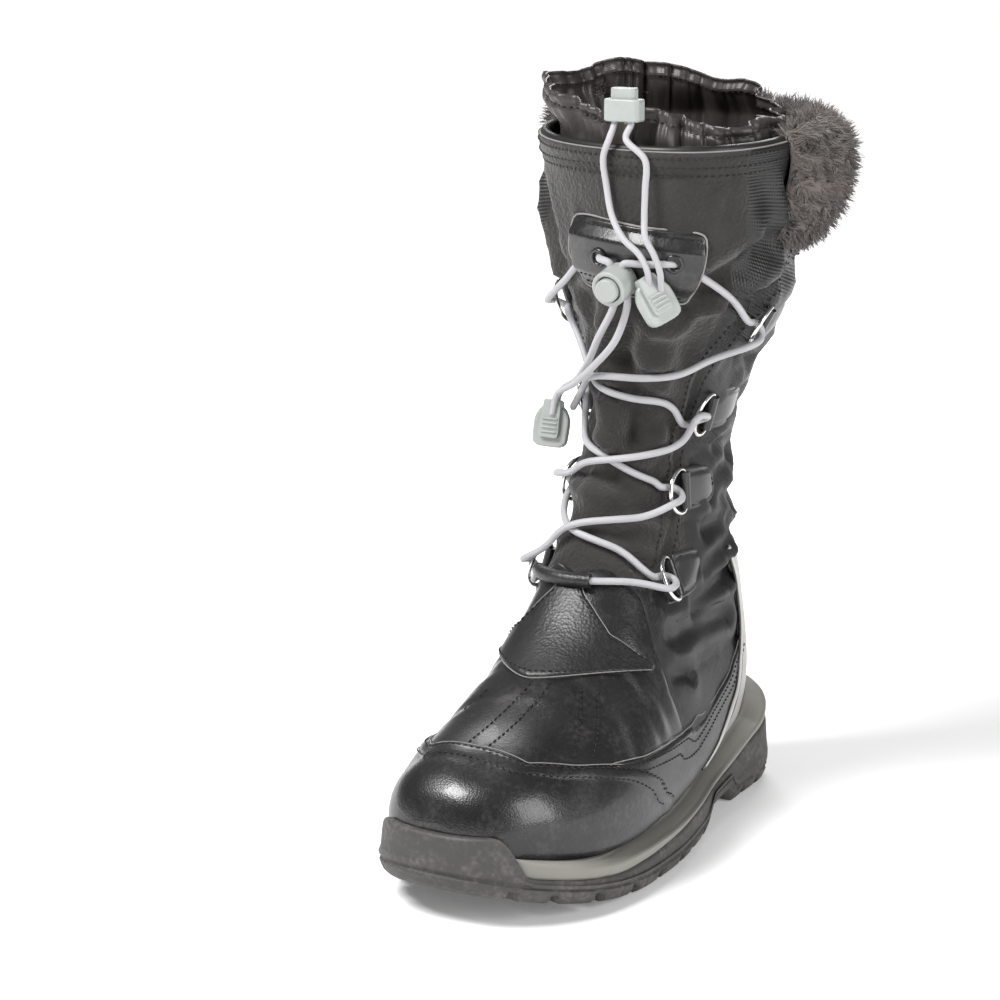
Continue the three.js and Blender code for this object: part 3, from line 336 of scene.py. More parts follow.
def dust_effect():
    tree, inside, outside = effect("dust", [("Scale", VALUE, 30.0), ("Amount", VALUE, 0.5)], "Mask")
    place_in = node(tree, "ShaderNodeTexCoord").outputs["Object"]
    cloud = node(
        tree, "ShaderNodeTexNoise", {"Vector": place_in, "Scale": inside.outputs["Scale"], "Detail": 8.0}
    )
    specks = node(tree, "ShaderNodeTexNoise", {"Vector": place_in, "Scale": 420.0, "Detail": 3.0})
    both = maths(tree, "MULTIPLY", cloud.outputs["Fac"], specks.outputs["Fac"])
    sharp = node(
        tree, "ShaderNodeMapRange", {"Value": both, "From Min": 0.18, "From Max": 0.48},
        interpolation_type="SMOOTHSTEP"
    )
    tree.links.new(
        maths(tree, "MULTIPLY", sharp.outputs[0], inside.outputs["Amount"]), outside.inputs["Mask"]
    )
    return tree


GRAIN, WEAVE, DUST = grain_effect(), weave_effect(), dust_effect()


# %% A finish
def group(tree, effect_tree, values):
    made = tree.nodes.new("ShaderNodeGroup")
    made.node_tree = effect_tree
    for key, value in values.items():
        made.inputs[key].default_value = value
    return made.outputs[0]


def finish(
    name, colour, roughness, metallic=0.0, coat=0.0, sheen=0.0, grain=None, weave=None, dust=None,
    dust_colour=(0.24, 0.22, 0.20), mottle=0.25, bump=0.25, depth=0.0004,
):
    """A material: base colour with a soft mottle and dust, and a bump from grain or weave."""
    made = bpy.data.materials.new(name)
    made.use_nodes = True
    tree = made.node_tree
    shader = tree.nodes["Principled BSDF"]
    shader.inputs["Metallic"].default_value = metallic
    shader.inputs["Coat Weight"].default_value = coat
    shader.inputs["Sheen Weight"].default_value = sheen
    where = node(tree, "ShaderNodeTexCoord").outputs["Object"]
    cloud = node(tree, "ShaderNodeTexNoise", {"Vector": where, "Scale": 45.0, "Detail": 5.0})
    shade = node(
        tree, "ShaderNodeMixRGB",
        {
            0: cloud.outputs["Fac"],
            1: (*[c * (1 - mottle) for c in colour], 1),
            2: (*[c * (1 + mottle) for c in colour], 1),
        },
    ).outputs[0]
    if dust:
        mask = group(tree, DUST, dict(zip(("Scale", "Amount"), dust)))
        shade = node(tree, "ShaderNodeMixRGB", {0: mask, 1: shade, 2: (*dust_colour, 1)}).outputs[0]
    tree.links.new(shade, shader.inputs["Base Color"])
    gloss = node(
        tree, "ShaderNodeMapRange",
        {"Value": cloud.outputs["Fac"], "From Min": 0.3, "From Max": 0.7,
         "To Min": roughness * 0.85, "To Max": min(1, roughness * 1.15)},
    )
    tree.links.new(gloss.outputs[0], shader.inputs["Roughness"])
    height = None
    if grain:
        height = group(tree, GRAIN, {"Scale": grain})
    if weave:
        height = group(tree, WEAVE, dict(zip(("Ribs", "Threads"), weave)))
    if height is None:
        height = node(
            tree, "ShaderNodeTexNoise", {"Vector": where, "Scale": 500.0, "Detail": 4.0}
        ).outputs["Fac"]
    raised = node(tree, "ShaderNodeBump", {"Strength": bump, "Distance": depth, "Height": height})
    tree.links.new(raised.outputs["Normal"], shader.inputs["Normal"])
    return made


# %% The boot's finishes
leather = finish(
    "leather", (0.010, 0.0095, 0.0105), 0.33, coat=0.15, grain=1100.0, dust=(60.0, 0.10), bump=0.3
)
# The tabs' leather is three times lighter than the rest: a painted sheen, so the tabs look lit.
tab_leather_painted_sheen = finish(
    "tab_leather_painted_sheen", (0.030, 0.029, 0.030), 0.36, coat=0.1, grain=1100.0, dust=(60.0, 0.06), bump=0.3
)
grained = finish("grained_leather", (0.012, 0.0115, 0.0125), 0.4, grain=700.0, dust=(60.0, 0.06), bump=0.55)
textile = finish(
    "textile", (0.011, 0.0102, 0.0102), 0.44, weave=(8200.0, 6600.0), dust=(60.0, 0.03), bump=0.3
)
ribbed = finish(
    "ribbed_textile", (0.012, 0.0112, 0.0112), 0.42, weave=(9000.0, 5200.0), dust=(60.0, 0.03), bump=0.4
)
silver = finish("silver_leather", (0.36, 0.35, 0.34), 0.42, grain=900.0, dust=(60.0, 0.1), bump=0.2)
nylon = finish("nylon", (0.034, 0.029, 0.026), 0.42, weave=(9000.0, 9000.0), bump=0.1)
fleece = finish("fleece", (0.018, 0.016, 0.015), 0.95, bump=1.0, depth=0.001, sheen=0.2)
rubber = finish("rubber", (0.050, 0.047, 0.045), 0.66, dust=(90.0, 0.30), mottle=0.2, bump=0.35)
foam = finish("foam", (0.21, 0.205, 0.182), 0.55, dust=(90.0, 0.2), mottle=0.15, bump=0.15)
steel = finish("steel", (0.72, 0.71, 0.70), 0.22, metallic=1.0, mottle=0.1, bump=0.05)
elastic = finish(
    "elastic", (0.38, 0.375, 0.39), 0.55, weave=(2600.0, 2200.0), mottle=0.1, bump=0.7, depth=0.0006
)
plastic = finish("plastic", (0.32, 0.34, 0.325), 0.38, mottle=0.05, bump=0.08, dust=(60.0, 0.12))
thread = finish("thread", (0.006, 0.006, 0.006), 0.7, bump=0.1)
# Pale grey for the thin lines along the overlays' rims, the collar and the patch.
pale_edge = finish("pale_edge", (0.22, 0.21, 0.20), 0.75, bump=0.2, mottle=0.4)
piping_white = finish("piping_white", (0.52, 0.51, 0.49), 0.5, bump=0.1, mottle=0.1)
fur_paint = finish("fur", (0.10, 0.082, 0.073), 0.8, mottle=0.5, bump=0.1, sheen=0.3)
for cloth in (textile, ribbed):
    cloth.node_tree.nodes["Principled BSDF"].inputs["Specular IOR Level"].default_value = 0.4

# %% [markdown]
# ## Cords
# The elastic lace zigzags through eight D rings. It is a fixed length of cord, so its route is a list of
# places it passes, each an angle, a height and a lift off the skin. A smooth curve runs through them. At a
# ring it goes in over the bow and comes out under it.


# %% A smooth line and a cord
def smooth_path(points, spacing=1.5, closed=False):
    """Points along a centripetal Catmull-Rom curve."""
    p = np.asarray(points, float)
    if closed:
        ends = np.vstack([p[-1], p, p[:2]])
    else:
        ends = np.vstack([2 * p[0] - p[1], p, 2 * p[-1] - p[-2]])
    line = []
    for a, b, c, d in zip(ends, ends[1:], ends[2:], ends[3:]):
        t1 = np.linalg.norm(b - a) ** 0.5
        t2 = t1 + np.linalg.norm(c - b) ** 0.5
        t3 = t2 + np.linalg.norm(d - c) ** 0.5
        count = max(2, int(np.linalg.norm(c - b) / spacing) + 1)
        t = np.linspace(t1, t2, count, endpoint=False)[:, None]
        ab = a + (b - a) * t / t1
        bc = b + (c - b) * (t - t1) / (t2 - t1)
        cd = c + (d - c) * (t - t2) / (t3 - t2)
        abc = ab + (bc - ab) * t / t2
        bcd = bc + (cd - bc) * (t - t1) / (t3 - t1)
        line.append(abc + (bcd - abc) * (t - t1) / (t2 - t1))
    return np.vstack(line if closed else [*line, p[-1:]])


def tube(name, points, radius, material, closed=False, sides=4, body=BODY, spacing=1.5):
    """A round cord or wire: a curve with a bevel. Points and radius are in millimetres."""
    line = smooth_path(points, spacing, closed) * MM
    data = bpy.data.curves.new(name, "CURVE")
    data.dimensions = "3D"
    data.bevel_depth = radius * MM
    data.bevel_resolution = sides
    data.use_fill_caps = True
    run = data.splines.new("POLY")
    run.points.add(len(line) - 1)
    run.points.foreach_set("co", np.hstack([line, np.ones((len(line), 1))]).ravel())
    run.use_cyclic_u = closed
    run.use_smooth = True
    made = bpy.data.objects.new(name, data)
    bpy.context.collection.objects.link(made)
    data.materials.append(material)
    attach(made, body)
    return made


def length_of(points):
    line = smooth_path(points)
    return float(np.linalg.norm(np.diff(line, axis=0), axis=1).sum()) * MM


def on_rows(rows):
    return [on_skin(*row) for row in rows]


# %% Ring places and the lace's route
RING_PLACES = {
    "lateral_1": (84, 242), "lateral_2": (70, 198), "lateral_3": (52, 160), "lateral_4": (51, 121),
    "medial_1": (-80, 246), "medial_2": (-68, 202), "medial_3": (-48, 160), "medial_4": (-46, 121),
}
rings = {name: spot(*where) for name, where in RING_PLACES.items()}
RING_HALF = 10.5
RING_BAR = 5.0
RING_NOSE = -8.0
RING_LIFT = 3.4
RING_TILT = 0.33


def turn_in(name, start, order=1):
    """The lace's way through a ring: over the bow, round, and out under it, or back to front."""
    way = [
        (RING_NOSE - 3, -4 * start, 11.2), (-3, -2.4 * start, 9.8), (-1.2, 0, 7.2),
        (-3, 2.4 * start, 4.6), (RING_NOSE - 3, 4 * start, 3.5),
    ]
    return [place(rings[name], *step) for step in way][::order]


LOCK_BACK = 7.4
LOCK_DEPTH = 13.0
LOCK_RADIUS = 8.4
LOCK_CORDS = 3.3
LOCK_CORD_LIFT = LOCK_BACK + 3.1
lock_spot = spot(-1, 269)
LOOP_HEIGHT = 123
LOOP_LIFT = 4.3
LOOP_ANGLES = (-29, -19, -9, 2, 12)
loop_line = [on_skin(angle, LOOP_HEIGHT, LOOP_LIFT) for angle in LOOP_ANGLES]
lace_line = [
    place(lock_spot, LOCK_CORDS, 2, LOCK_CORD_LIFT),
    place(lock_spot, LOCK_CORDS, 8.5, LOCK_CORD_LIFT),
    *on_rows([(-10.5, 277.5, 8.6), (-12, 277, 5), (-14, 276.5, 2.7), (-27, 272, 2.4), (-45, 262, 2.6)]),
    *turn_in("medial_1", -1),
    *on_rows([(-58, 231, 3.2), (-42, 219, 3.4), (-16, 211, 3.6), (16, 208, 3.6), (44, 205, 3.2)]),
    *turn_in("lateral_2", -1, -1),
    *on_rows([(52, 184, 5.4), (30, 180, 5.6), (14, 178, 5.6), (-8, 174, 5.6), (-24, 167, 4.6)]),
    *turn_in("medial_3", -1),
    *on_rows([(-26, 150, 3), (-10, 144, 3), (8, 140.5, 3), (24, 136, 3)]),
    *turn_in("lateral_4", 1, -1),
    on_skin(33, 122.5, 4.3),
    *loop_line[::-1],
    *turn_in("medial_4", -1, -1),
    *on_rows([(-25, 133, 5.4), (-15, 141, 5.8), (-3, 146, 5.8), (18, 149, 5.4), (34, 150, 4.6)]),
    *turn_in("lateral_3", 1),
    *on_rows([(38, 166, 3), (24, 171, 3), (6, 178, 2.8), (-16, 183, 2.8), (-38, 190, 3)]),
    *turn_in("medial_2", 1, -1),
    *on_rows(
        [(-46, 210, 5), (-30, 215.5, 5.8), (-10, 219, 5.8), (20, 220.5, 5.8), (45, 222, 5.4), (63, 228, 4.6)]
    ),
    *turn_in("lateral_1", 1),
    *on_rows(
        [(60, 256, 3), (46, 264, 2.6), (30, 272, 2.5), (21, 276, 3),
         (20, 277, 5.2), (17, 277.5, 8.4), (8, 277, 8.8)]
    ),
    place(lock_spot, -LOCK_CORDS, 8.5, LOCK_CORD_LIFT),
    place(lock_spot, -LOCK_CORDS, 2, LOCK_CORD_LIFT),
]
LACE_EASE = 9.0  # millimetres of lace over which its bends are evened out, away from the rings


def eased(points):
    """Evens out a line's bends, except close to a ring, where the lace has to stay in the wire."""
    line = smooth_path(points, 1.5)
    reach = np.arange(-12, 13)
    weight = np.exp(-((reach * 1.5 / LACE_EASE) ** 2) * 2)
    ends = np.concatenate([np.repeat(line[:1], 12, axis=0), line, np.repeat(line[-1:], 12, axis=0)])
    even = sum(w * ends[12 + k : 12 + k + len(line)] for k, w in zip(reach, weight)) / weight.sum()
    hooks = np.array([place(s, RING_NOSE + 3, 0, 7.2) for s in rings.values()] + [line[0], line[-1]])
    gap = np.linalg.norm(line[:, None] - hooks[None], axis=2).min(1)
    free = np.clip((gap - 7) / 10, 0, 1)[:, None]
    return line * (1 - free) + even * free


lace_line = list(eased(lace_line)[::2])
lace = tube("lace", lace_line, CORD / 2, elastic)
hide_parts("lace")
print("lace", round(length_of(lace_line), 3))

# %% Lace ends and drawcord
CLIP_CORDS = 2.8
LACE_CLIP_LIFT = 19.0
DRAW_CLIP_LIFT = 12.8
DRAWCORD = 3.0
lace_clip_spot = spot(-42, 185)
draw_clip_spot = spot(15.5, 264)
DRAW_LOCK = dict(side=10.0, forward=97.6, up=343.0, width=18.0, depth=9.0, height=11.0, cords=4.2)
LOCK_BOTTOM = -DRAW_LOCK["height"] / 2


def draw_at(side, forward, up):
    return np.array([DRAW_LOCK["side"] + side, -(DRAW_LOCK["forward"] + forward), DRAW_LOCK["up"] + up])


def end_line(start, rows, finish_at):
    return [
        place(lock_spot, start, -3, LOCK_CORD_LIFT),
        place(lock_spot, start, -10, LOCK_CORD_LIFT),
        *on_rows(rows),
        place(lace_clip_spot, finish_at, 14, LACE_CLIP_LIFT),
        place(lace_clip_spot, finish_at, 5, LACE_CLIP_LIFT),
    ]


def draw_line(side, rows):
    across = side * DRAW_LOCK["cords"]
    return [
        draw_at(across, 0.4, LOCK_BOTTOM + 3.2),
        draw_at(across, 1.4, LOCK_BOTTOM - 1),
        draw_at(across, 6, LOCK_BOTTOM - 7),
        *on_rows(rows),
        place(draw_clip_spot, side * CLIP_CORDS, 13.5, DRAW_CLIP_LIFT),
        place(draw_clip_spot, side * CLIP_CORDS, 5, DRAW_CLIP_LIFT),
    ]


cord_lines = {
    "lace_end_left": end_line(LOCK_CORDS, [(-12, 240, 11), (-20, 228, 10.6), (-30, 216, 11.5)], CLIP_CORDS),
    "lace_end_right": end_line(
        -LOCK_CORDS, [(0, 242, 12.5), (-10, 229, 15), (-22, 216, 15.5)], -CLIP_CORDS
    ),
    "drawcord_left": draw_line(
        -1, [(-11, 322, 4.5), (-9.5, 309, 4.5), (-6, 297, 7), (0, 288, 11.5), (7, 282, 13)]
    ),
    "drawcord_right": draw_line(
        1, [(3, 322, 4.5), (4, 309, 4.5), (5.5, 297, 7), (8, 289, 11.5), (12, 283, 13)]
    ),
}
cords = {}
for name, line in cord_lines.items():
    thickness = CORD if name.startswith("lace") else DRAWCORD
    cords[name] = tube(name, line, thickness / 2, elastic)
    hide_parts(name)
    print(name, round(length_of(line), 3))

# %% [markdown]
# ## Sheets that follow the last
# Panels, linings and pads all start as a flat grid. Each vertex is then moved to its place on the skin, with
# a lift for puff, folds and rounded edges, and Solidify gives the sheet its wall. A stitch is a small bead of
# thread, and a seam is a row of copies of it.


# %% Sheet helper
def surface(
    name, across, down, shape, material, wall=0.0, wrap=False, size=(0.2, 0.2), body=BODY, inside=None
):
    """A grid of across by down cells, moved to shape(u, v) in millimetres."""
    bm = bmesh.new()
    bmesh.ops.create_grid(bm, x_segments=across, y_segments=down, size=0.5)
    flat = np.array([vertex.co[:2] for vertex in bm.verts]) + 0.5
    points = shape(flat[:, 0], flat[:, 1]) * MM
    layer = bm.loops.layers.uv.new("surface")
    bm.verts.index_update()
    for face in bm.faces:
        face.smooth = True
        for loop in face.loops:
            u, v = flat[loop.vert.index]
            loop[layer].uv = (u * size[0], v * size[1])
    for vertex, point in zip(bm.verts, points):
        vertex.co = point
    if wrap:
        bmesh.ops.remove_doubles(bm, verts=bm.verts, dist=2e-5)
    data = bpy.data.meshes.new(name)
    bm.to_mesh(data)
    bm.free()
    made = bpy.data.objects.new(name, data)
    bpy.context.collection.objects.link(made)
    data.materials.append(material)
    if wall:
        thicken = made.modifiers.new("wall", "SOLIDIFY")
        thicken.thickness = wall * MM
        thicken.offset = -1
        if inside:
            data.materials.append(inside)
            thicken.material_offset = 1
            thicken.material_offset_rim = 0
    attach(made, body)
    return made


def smooth_step(low, high, value):
    t = np.clip((value - low) / (high - low), 0, 1)
    return t * t * (3 - 2 * t)


def rounded(distance, radius):
    """0 at an edge, 1 from the radius inwards, along a quarter circle."""
    t = 1 - np.clip(distance / radius, 0, 1)
    return np.sqrt(np.clip(1 - t * t, 0, 1))


def edge_distance(u, v, width, height):
    return np.minimum(np.minimum(u, 1 - u) * width, np.minimum(v, 1 - v) * height)


# %% Copies of a small shape
def copies(name, shape_bm, frames, material, body=BODY):
    """One mesh that holds a copy of a small shape in every frame. A frame is a 3x4 matrix in millimetres."""
    unit = np.array([vertex.co for vertex in shape_bm.verts])
    shape_bm.verts.index_update()
    faces = np.array([[vertex.index for vertex in face.verts] for face in shape_bm.faces])
    frames = np.asarray(frames)
    points = np.einsum("nij,vj->nvi", frames[:, :, :3], unit) + frames[:, None, :, 3]
    all_faces = faces[None] + np.arange(len(frames))[:, None, None] * len(unit)
    all_faces = all_faces.reshape(-1, faces.shape[1])
    data = bpy.data.meshes.new(name)
    data.from_pydata((points.reshape(-1, 3) * MM).tolist(), [], all_faces.tolist())
    data.polygons.foreach_set("use_smooth", [True] * len(data.polygons))
    data.materials.append(material)
    made = bpy.data.objects.new(name, data)
    bpy.context.collection.objects.link(made)
    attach(made, body)
    return made


STITCH_STEP = 3.3
STITCH_LENGTH = 2.3
stitch_frames = []


def stitch(line, normals, step=STITCH_STEP):
    """Adds stitches along a line of surface points."""
    line, normals = np.asarray(line), np.asarray(normals)
    run = np.concatenate([[0], np.cumsum(np.linalg.norm(np.diff(line, axis=0), axis=1))])
    for at in np.arange(step / 2, run[-1], step):
        here = np.array([np.interp(at, run, line[:, k]) for k in range(3)])
        ahead = np.array([np.interp(min(at + 0.5, run[-1]), run, line[:, k]) for k in range(3)])
        behind = np.array([np.interp(max(at - 0.5, 0), run, line[:, k]) for k in range(3)])
        out = np.array([np.interp(at, run, normals[:, k]) for k in range(3)])
        along = (ahead - behind) / max(1e-6, np.linalg.norm(ahead - behind))
        out = out - along * out.dot(along)
        out = out / np.linalg.norm(out)
        side = np.cross(out, along)
        frame_of = np.stack([along * STITCH_LENGTH / 2, side * 0.42, out * 0.34, here], axis=1)
        stitch_frames.append(frame_of)


# %% [markdown]
# ## The textile upper
# The shaft is padded, coated textile: a smooth ribbed panel in front and, on the quarters, sewn channels that
# puff out between their seams. The main folds are placed one by one, each a soft trough with a ridge beside
# it. Folds gather below the patch, behind the rings and over the ankle, where the boot bends in wear.

# %% Folds of the upper
# from angle, from height, to angle, to height, width and depth in mm; a negative depth is a ridge
SHAFT_FOLDS = [
    (-34, 254, 44, 250, 5, 2.2), (-20, 246, 40, 240, 6, -1.2), (40, 262, 74, 282, 6, 3.2),
    (44, 252, 80, 268, 5, -2.2), (52, 250, 84, 256, 4, 2.0), (36, 244, 66, 252, 4, -1.6),
    (10, 250, -6, 226, 6, 2.4), (18, 250, 30, 226, 8, -1.8), (-30, 246, -40, 222, 5, 2.0),
    (34, 228, 40, 206, 5, -1.5), (2, 222, 20, 190, 7, 2.6), (-8, 214, 4, 186, 6, -1.8),
    (-24, 206, -16, 176, 5, 1.6), (38, 204, 22, 186, 5, 1.4), (-30, 180, 10, 172, 5, 1.5),
    (-26, 160, 6, 156, 7, -2.0), (-18, 168, 22, 164, 4, 1.6), (10, 156, 44, 150, 5, 1.3),
    (-20, 150, 22, 134, 5, -1.4), (-22, 140, 24, 128, 6, -2.0), (0, 134, 40, 128, 4, 1.8),
    (14, 120, 40, 110, 6, 2.2), (18, 112, 46, 100, 5, -1.8), (24, 104, 48, 94, 5, 2.0),
    (-70, 300, -60, 262, 6, -2.2), (-56, 300, -50, 268, 5, 1.6), (-80, 320, -74, 280, 5, 1.8),
    (26, 318, 34, 296, 7, 1.0), (60, 316, 72, 286, 7, 1.2), (0, 312, 4, 298, 8, 0.8),
    (80, 310, 92, 280, 5, 1.6), (84, 226, 108, 218, 4, 1.6), (92, 262, 120, 268, 5, 1.8),
    (96, 236, 130, 240, 6, 1.6), (88, 192, 120, 200, 5, 1.6), (92, 178, 124, 170, 4, 1.4),
    (84, 160, 120, 166, 5, 1.5), (84, 150, 122, 142, 5, 1.6), (76, 138, 116, 130, 5, 2.0),
    (74, 118, 100, 126, 4, 1.5), (70, 106, 104, 112, 5, 1.8), (62, 96, 92, 92, 5, 1.6),
    (60, 84, 78, 78, 4, 1.2), (120, 150, 170, 144, 6, 1.6), (124, 120, 172, 126, 6, 1.6),
    (130, 190, 175, 196, 6, 1.4), (128, 226, 172, 220, 6, 1.4),
]
SMALL_FOLDS = 90
fold_rng = np.random.default_rng(11)
for _ in range(SMALL_FOLDS):
    fold_angle, fold_height = fold_rng.uniform(-110, 110), fold_rng.uniform(92, 305)
    turn, run = fold_rng.uniform(-16, 16), fold_rng.uniform(-9, 9)
    SHAFT_FOLDS.append((
        fold_angle, fold_height, fold_angle + turn, fold_height + run,
        fold_rng.uniform(2.2, 4.5), fold_rng.uniform(0.35, 0.9) * fold_rng.choice((-1, 1)),
    ))
FOLD_PARTS = 4
FOLD_STRENGTH = 1.5
MIRRORED_FROM = 84  # folds behind the front panel show on both sides


def fold_lines():
    starts, ends, widths, depths = [], [], [], []
    for a0, z0, a1, z1, width, depth in SHAFT_FOLDS:
        for sign in (1, -1) if a0 >= MIRRORED_FROM else (1,):
            t = np.linspace(0, 1, FOLD_PARTS + 1)
            bow = 2.5 * np.sin(np.pi * t)
            line = on_skin(sign * (a0 + (a1 - a0) * t), z0 + (z1 - z0) * t + bow)
            starts.extend(line[:-1])
            ends.extend(line[1:])
            widths.extend([width] * FOLD_PARTS)
            depths.extend([depth] * FOLD_PARTS)
    return np.array(starts), np.array(ends), np.array(widths), np.array(depths)


FOLD_START, FOLD_END, FOLD_WIDTH, FOLD_DEPTH = fold_lines()


def fold_lift(points):
    """How far the folds push each point in or out, in millimetres."""
    lift = np.zeros(len(points))
    for k in range(0, len(FOLD_START), FOLD_PARTS):
        nearest = np.full(len(points), 1e9)
        for start, end in zip(FOLD_START[k : k + FOLD_PARTS], FOLD_END[k : k + FOLD_PARTS]):
            span = end - start
            t = np.clip((points - start) @ span / span.dot(span), 0, 1)
            nearest = np.minimum(nearest, np.linalg.norm(points - start - t[:, None] * span, axis=1))
        d = nearest / FOLD_WIDTH[k]
        lift += FOLD_STRENGTH * FOLD_DEPTH[k] * (-np.exp(-(d**2)) + 0.55 * np.exp(-((d - 1.9) ** 2)))
    return lift


# %% The upper's shape
FRONT_EDGE_ROWS = [8.2, 9.2, 13.2, 14.7, 15.55, 16.2, 17]
FRONT_EDGE_ANGLES = [40, 46, 54, 64, 75, 96, 100]
CHANNEL_SEAMS = np.array([78, 100, 141, 180, 222, 268])
VAMP_EDGE_ANGLES = [0, 40, 54, 84, 180]
VAMP_EDGE_ROWS = [9.6, 9.12, 8.29, 8.19, 8.19]
COLLAR_BAND = 9.0
MM_PER_DEGREE = 0.62  # along the shaft's skin, roughly
MM_PER_ROW = 16


def front_edge(row):
    return np.interp(row, FRONT_EDGE_ROWS, FRONT_EDGE_ANGLES)


def upper_lift(row, angle):
    """Puff, seams and folds over the skin, in millimetres. The angle is in radians."""
    row, angle = np.broadcast_arrays(np.asarray(row, float), np.asarray(angle, float))
    shape = row.shape
    row, angle = row.ravel(), angle.ravel()
    points = skin(row, angle)
    height = points[:, 2]
    across = MM_PER_DEGREE * np.abs(np.degrees(angle))
    behind = across - MM_PER_DEGREE * front_edge(row)  # of the front panel's edge
    above = (row - np.interp(np.abs(np.degrees(angle)), VAMP_EDGE_ANGLES, VAMP_EDGE_ROWS)) * MM_PER_ROW
    collar_top = skin(np.full_like(row, COLLAR), angle)[:, 2]
    below_band = collar_top - COLLAR_BAND - height
    shaft = smooth_step(0, 6, above)
    seam = np.abs(height[:, None] - CHANNEL_SEAMS[None] - 3 * np.sin(angle * 2)[:, None]).min(1)
    puff = 2.4 * rounded(seam, 15) - 1.0
    quarter = smooth_step(0, 4, behind) * shaft * smooth_step(-1, 3, below_band)
    lift = puff * quarter
    lift = lift + 0.7 * smooth_step(0.8, -0.8, behind) * shaft
    lift = lift - 1.3 * np.exp(-((behind / 1.3) ** 2)) * shaft
    lift = lift + 1.1 * smooth_step(1.2, -1.2, below_band) - 0.9 * np.exp(-((below_band / 1.2) ** 2))
    lift = lift + fold_lift(points) * shaft * smooth_step(0, 8, below_band)
    slow = np.sin(points[:, 0] * 0.11 + 1) * np.sin(height * 0.083 + 2)
    slow = slow + np.sin(points[:, 1] * 0.13 + height * 0.06)
    under_counter = smooth_step(136, 127, height) * smooth_step(100, 116, np.abs(np.degrees(angle)))
    return (
        (lift + 0.35 * slow * shaft) * (1 - under_counter)
        - 0.6 * under_counter
        - 1.8 * smooth_step(-4, -12, above)
    ).reshape(shape)


# %% Upper and lining
UPPER_AROUND = 264
UPPER_UP = 180
RIBBED_ANGLE = 60  # the front panel's ribbed cloth: degrees from the middle, heights and how far forward
RIBBED_FROM, RIBBED_TO = 120, 330
RIBBED_AHEAD = -40
LACE_REACH = 6.0
lace_tree = KDTree(len(lace_line))
for number, point in enumerate(lace_line):
    lace_tree.insert(Vector(point), number)
lace_tree.balance()


def pressed(points, normals):
    """How far the lace presses each point of the shell in, in millimetres."""
    press = np.zeros(len(points))
    for number, (point, normal) in enumerate(zip(points, normals)):
        found = lace_tree.find(Vector(point))
        if found[2] > LACE_REACH + 3:
            continue
        reach = np.array(found[0]) - point
        above = reach.dot(normal)
        beside = math.sqrt(max(0.0, reach.dot(reach) - above * above))
        near = smooth_step(LACE_REACH, 1.5, beside)
        press[number] = np.clip(CORD / 2 + 0.3 - above, 0, 4.5) * near
    return press


def upper_shape(u, v):
    angle = (u - 0.5) * 2 * np.pi
    row = 0.02 + v * (COLLAR - 0.02)
    lift = upper_lift(row, angle)
    points, normals = skin_at(row, angle, lift), skin_normal(row, angle)
    return points - normals * pressed(points.reshape(-1, 3), normals.reshape(-1, 3)).reshape(*lift.shape, 1)


upper = surface(
    "shell", UPPER_AROUND, UPPER_UP, upper_shape, textile, wrap=True, size=(0.3, 0.5), wall=WALL - 0.8,
    inside=fleece
)
upper.data.materials.append(ribbed)
for face in upper.data.polygons:
    x, y, z = face.center / MM
    around = abs(math.degrees(math.atan2(x, -(y - RIBBED_AHEAD))))
    in_front = around < RIBBED_ANGLE and RIBBED_FROM < z < RIBBED_TO and y < RIBBED_AHEAD
    face.material_index = 1 if in_front else 0
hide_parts("upper")
print("shell faces", len(upper.data.polygons))

# %% [markdown]
# ## Leather overlays
# The toe cap, heel counter, side panels and instep piece lie on the upper. Each has a front and a back edge
# and runs between two lines, so a grid stretched between its four edges has the true outline, with no ragged
# cuts. Its rim rounds down to the skin, and a thin pale line runs along it.


# %% Overlay helper
def overlay(name, rows, angles, across, down, material, replaced, creases=None, lift=OVERLAY + GAP):
    """rows(u, v) and angles(u, v) place the panel on the last; the angles are in degrees."""

    def shape(u, v):
        row, angle = rows(u, v), np.radians(angles(u, v))
        ends = edge_distance(u, v, 60, 40)
        rise = -0.8 + (lift + 0.8) * rounded(ends, 2.0)
        if creases:
            rise = rise + creases(row, angle)
        return skin_at(row, angle, rise)

    made = surface(name, across, down, shape, material, size=(0.15, 0.1))
    if replaced:
        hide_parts(*replaced)
    return made


def seam_on(row, angle_degrees, lift):
    """Stitches along a line of rows and angles."""
    angle = np.radians(angle_degrees)
    stitch(skin_at(row, angle, lift), skin_normal(row, angle))


def pale_line(name, row, angle_degrees, lift, radius=0.26, material=None):
    """A thin pale edge along a line of rows and angles."""
    line = skin_at(row, np.radians(angle_degrees), np.full(len(row), lift))
    made = tube(name, line, radius, material or pale_edge, sides=2, spacing=4)
    return made


EDGE_STEPS = np.linspace(0, 1, 60)

# %% Toe cap
CAP_EDGE_ANGLES = [0, 32, 50.7, 67.9, 77.9, 87.9, 97.9, 120]
CAP_EDGE_ROWS = [3.95, 4.03, 4.76, 5.74, 6.35, 6.84, 7.32, 7.5]
CAP_REACH = 118
MM_PER_CAP_ROW = 14


def cap_edge(angle):
    return np.interp(np.abs(angle), CAP_EDGE_ANGLES, CAP_EDGE_ROWS)


def cap_dents(row, angle):
    p = skin(row, angle)
    dents = [
        ((-30, -205, 60), 13, 1.6), ((8, -213, 64), 11, 1.3), ((28, -190, 58), 12, 1.4),
        ((-10, -222, 52), 10, 1.0)
    ]
    lift = np.zeros(p.shape[:-1])
    for centre, size, depth in dents:
        lift -= depth * np.exp(-((np.linalg.norm(p - np.array(centre), axis=-1) / size) ** 2))
    webbing = np.exp(-(((cap_edge(np.degrees(angle)) - row) * MM_PER_CAP_ROW - 4.0) / 3.2) ** 4)
    return lift + 0.7 * webbing


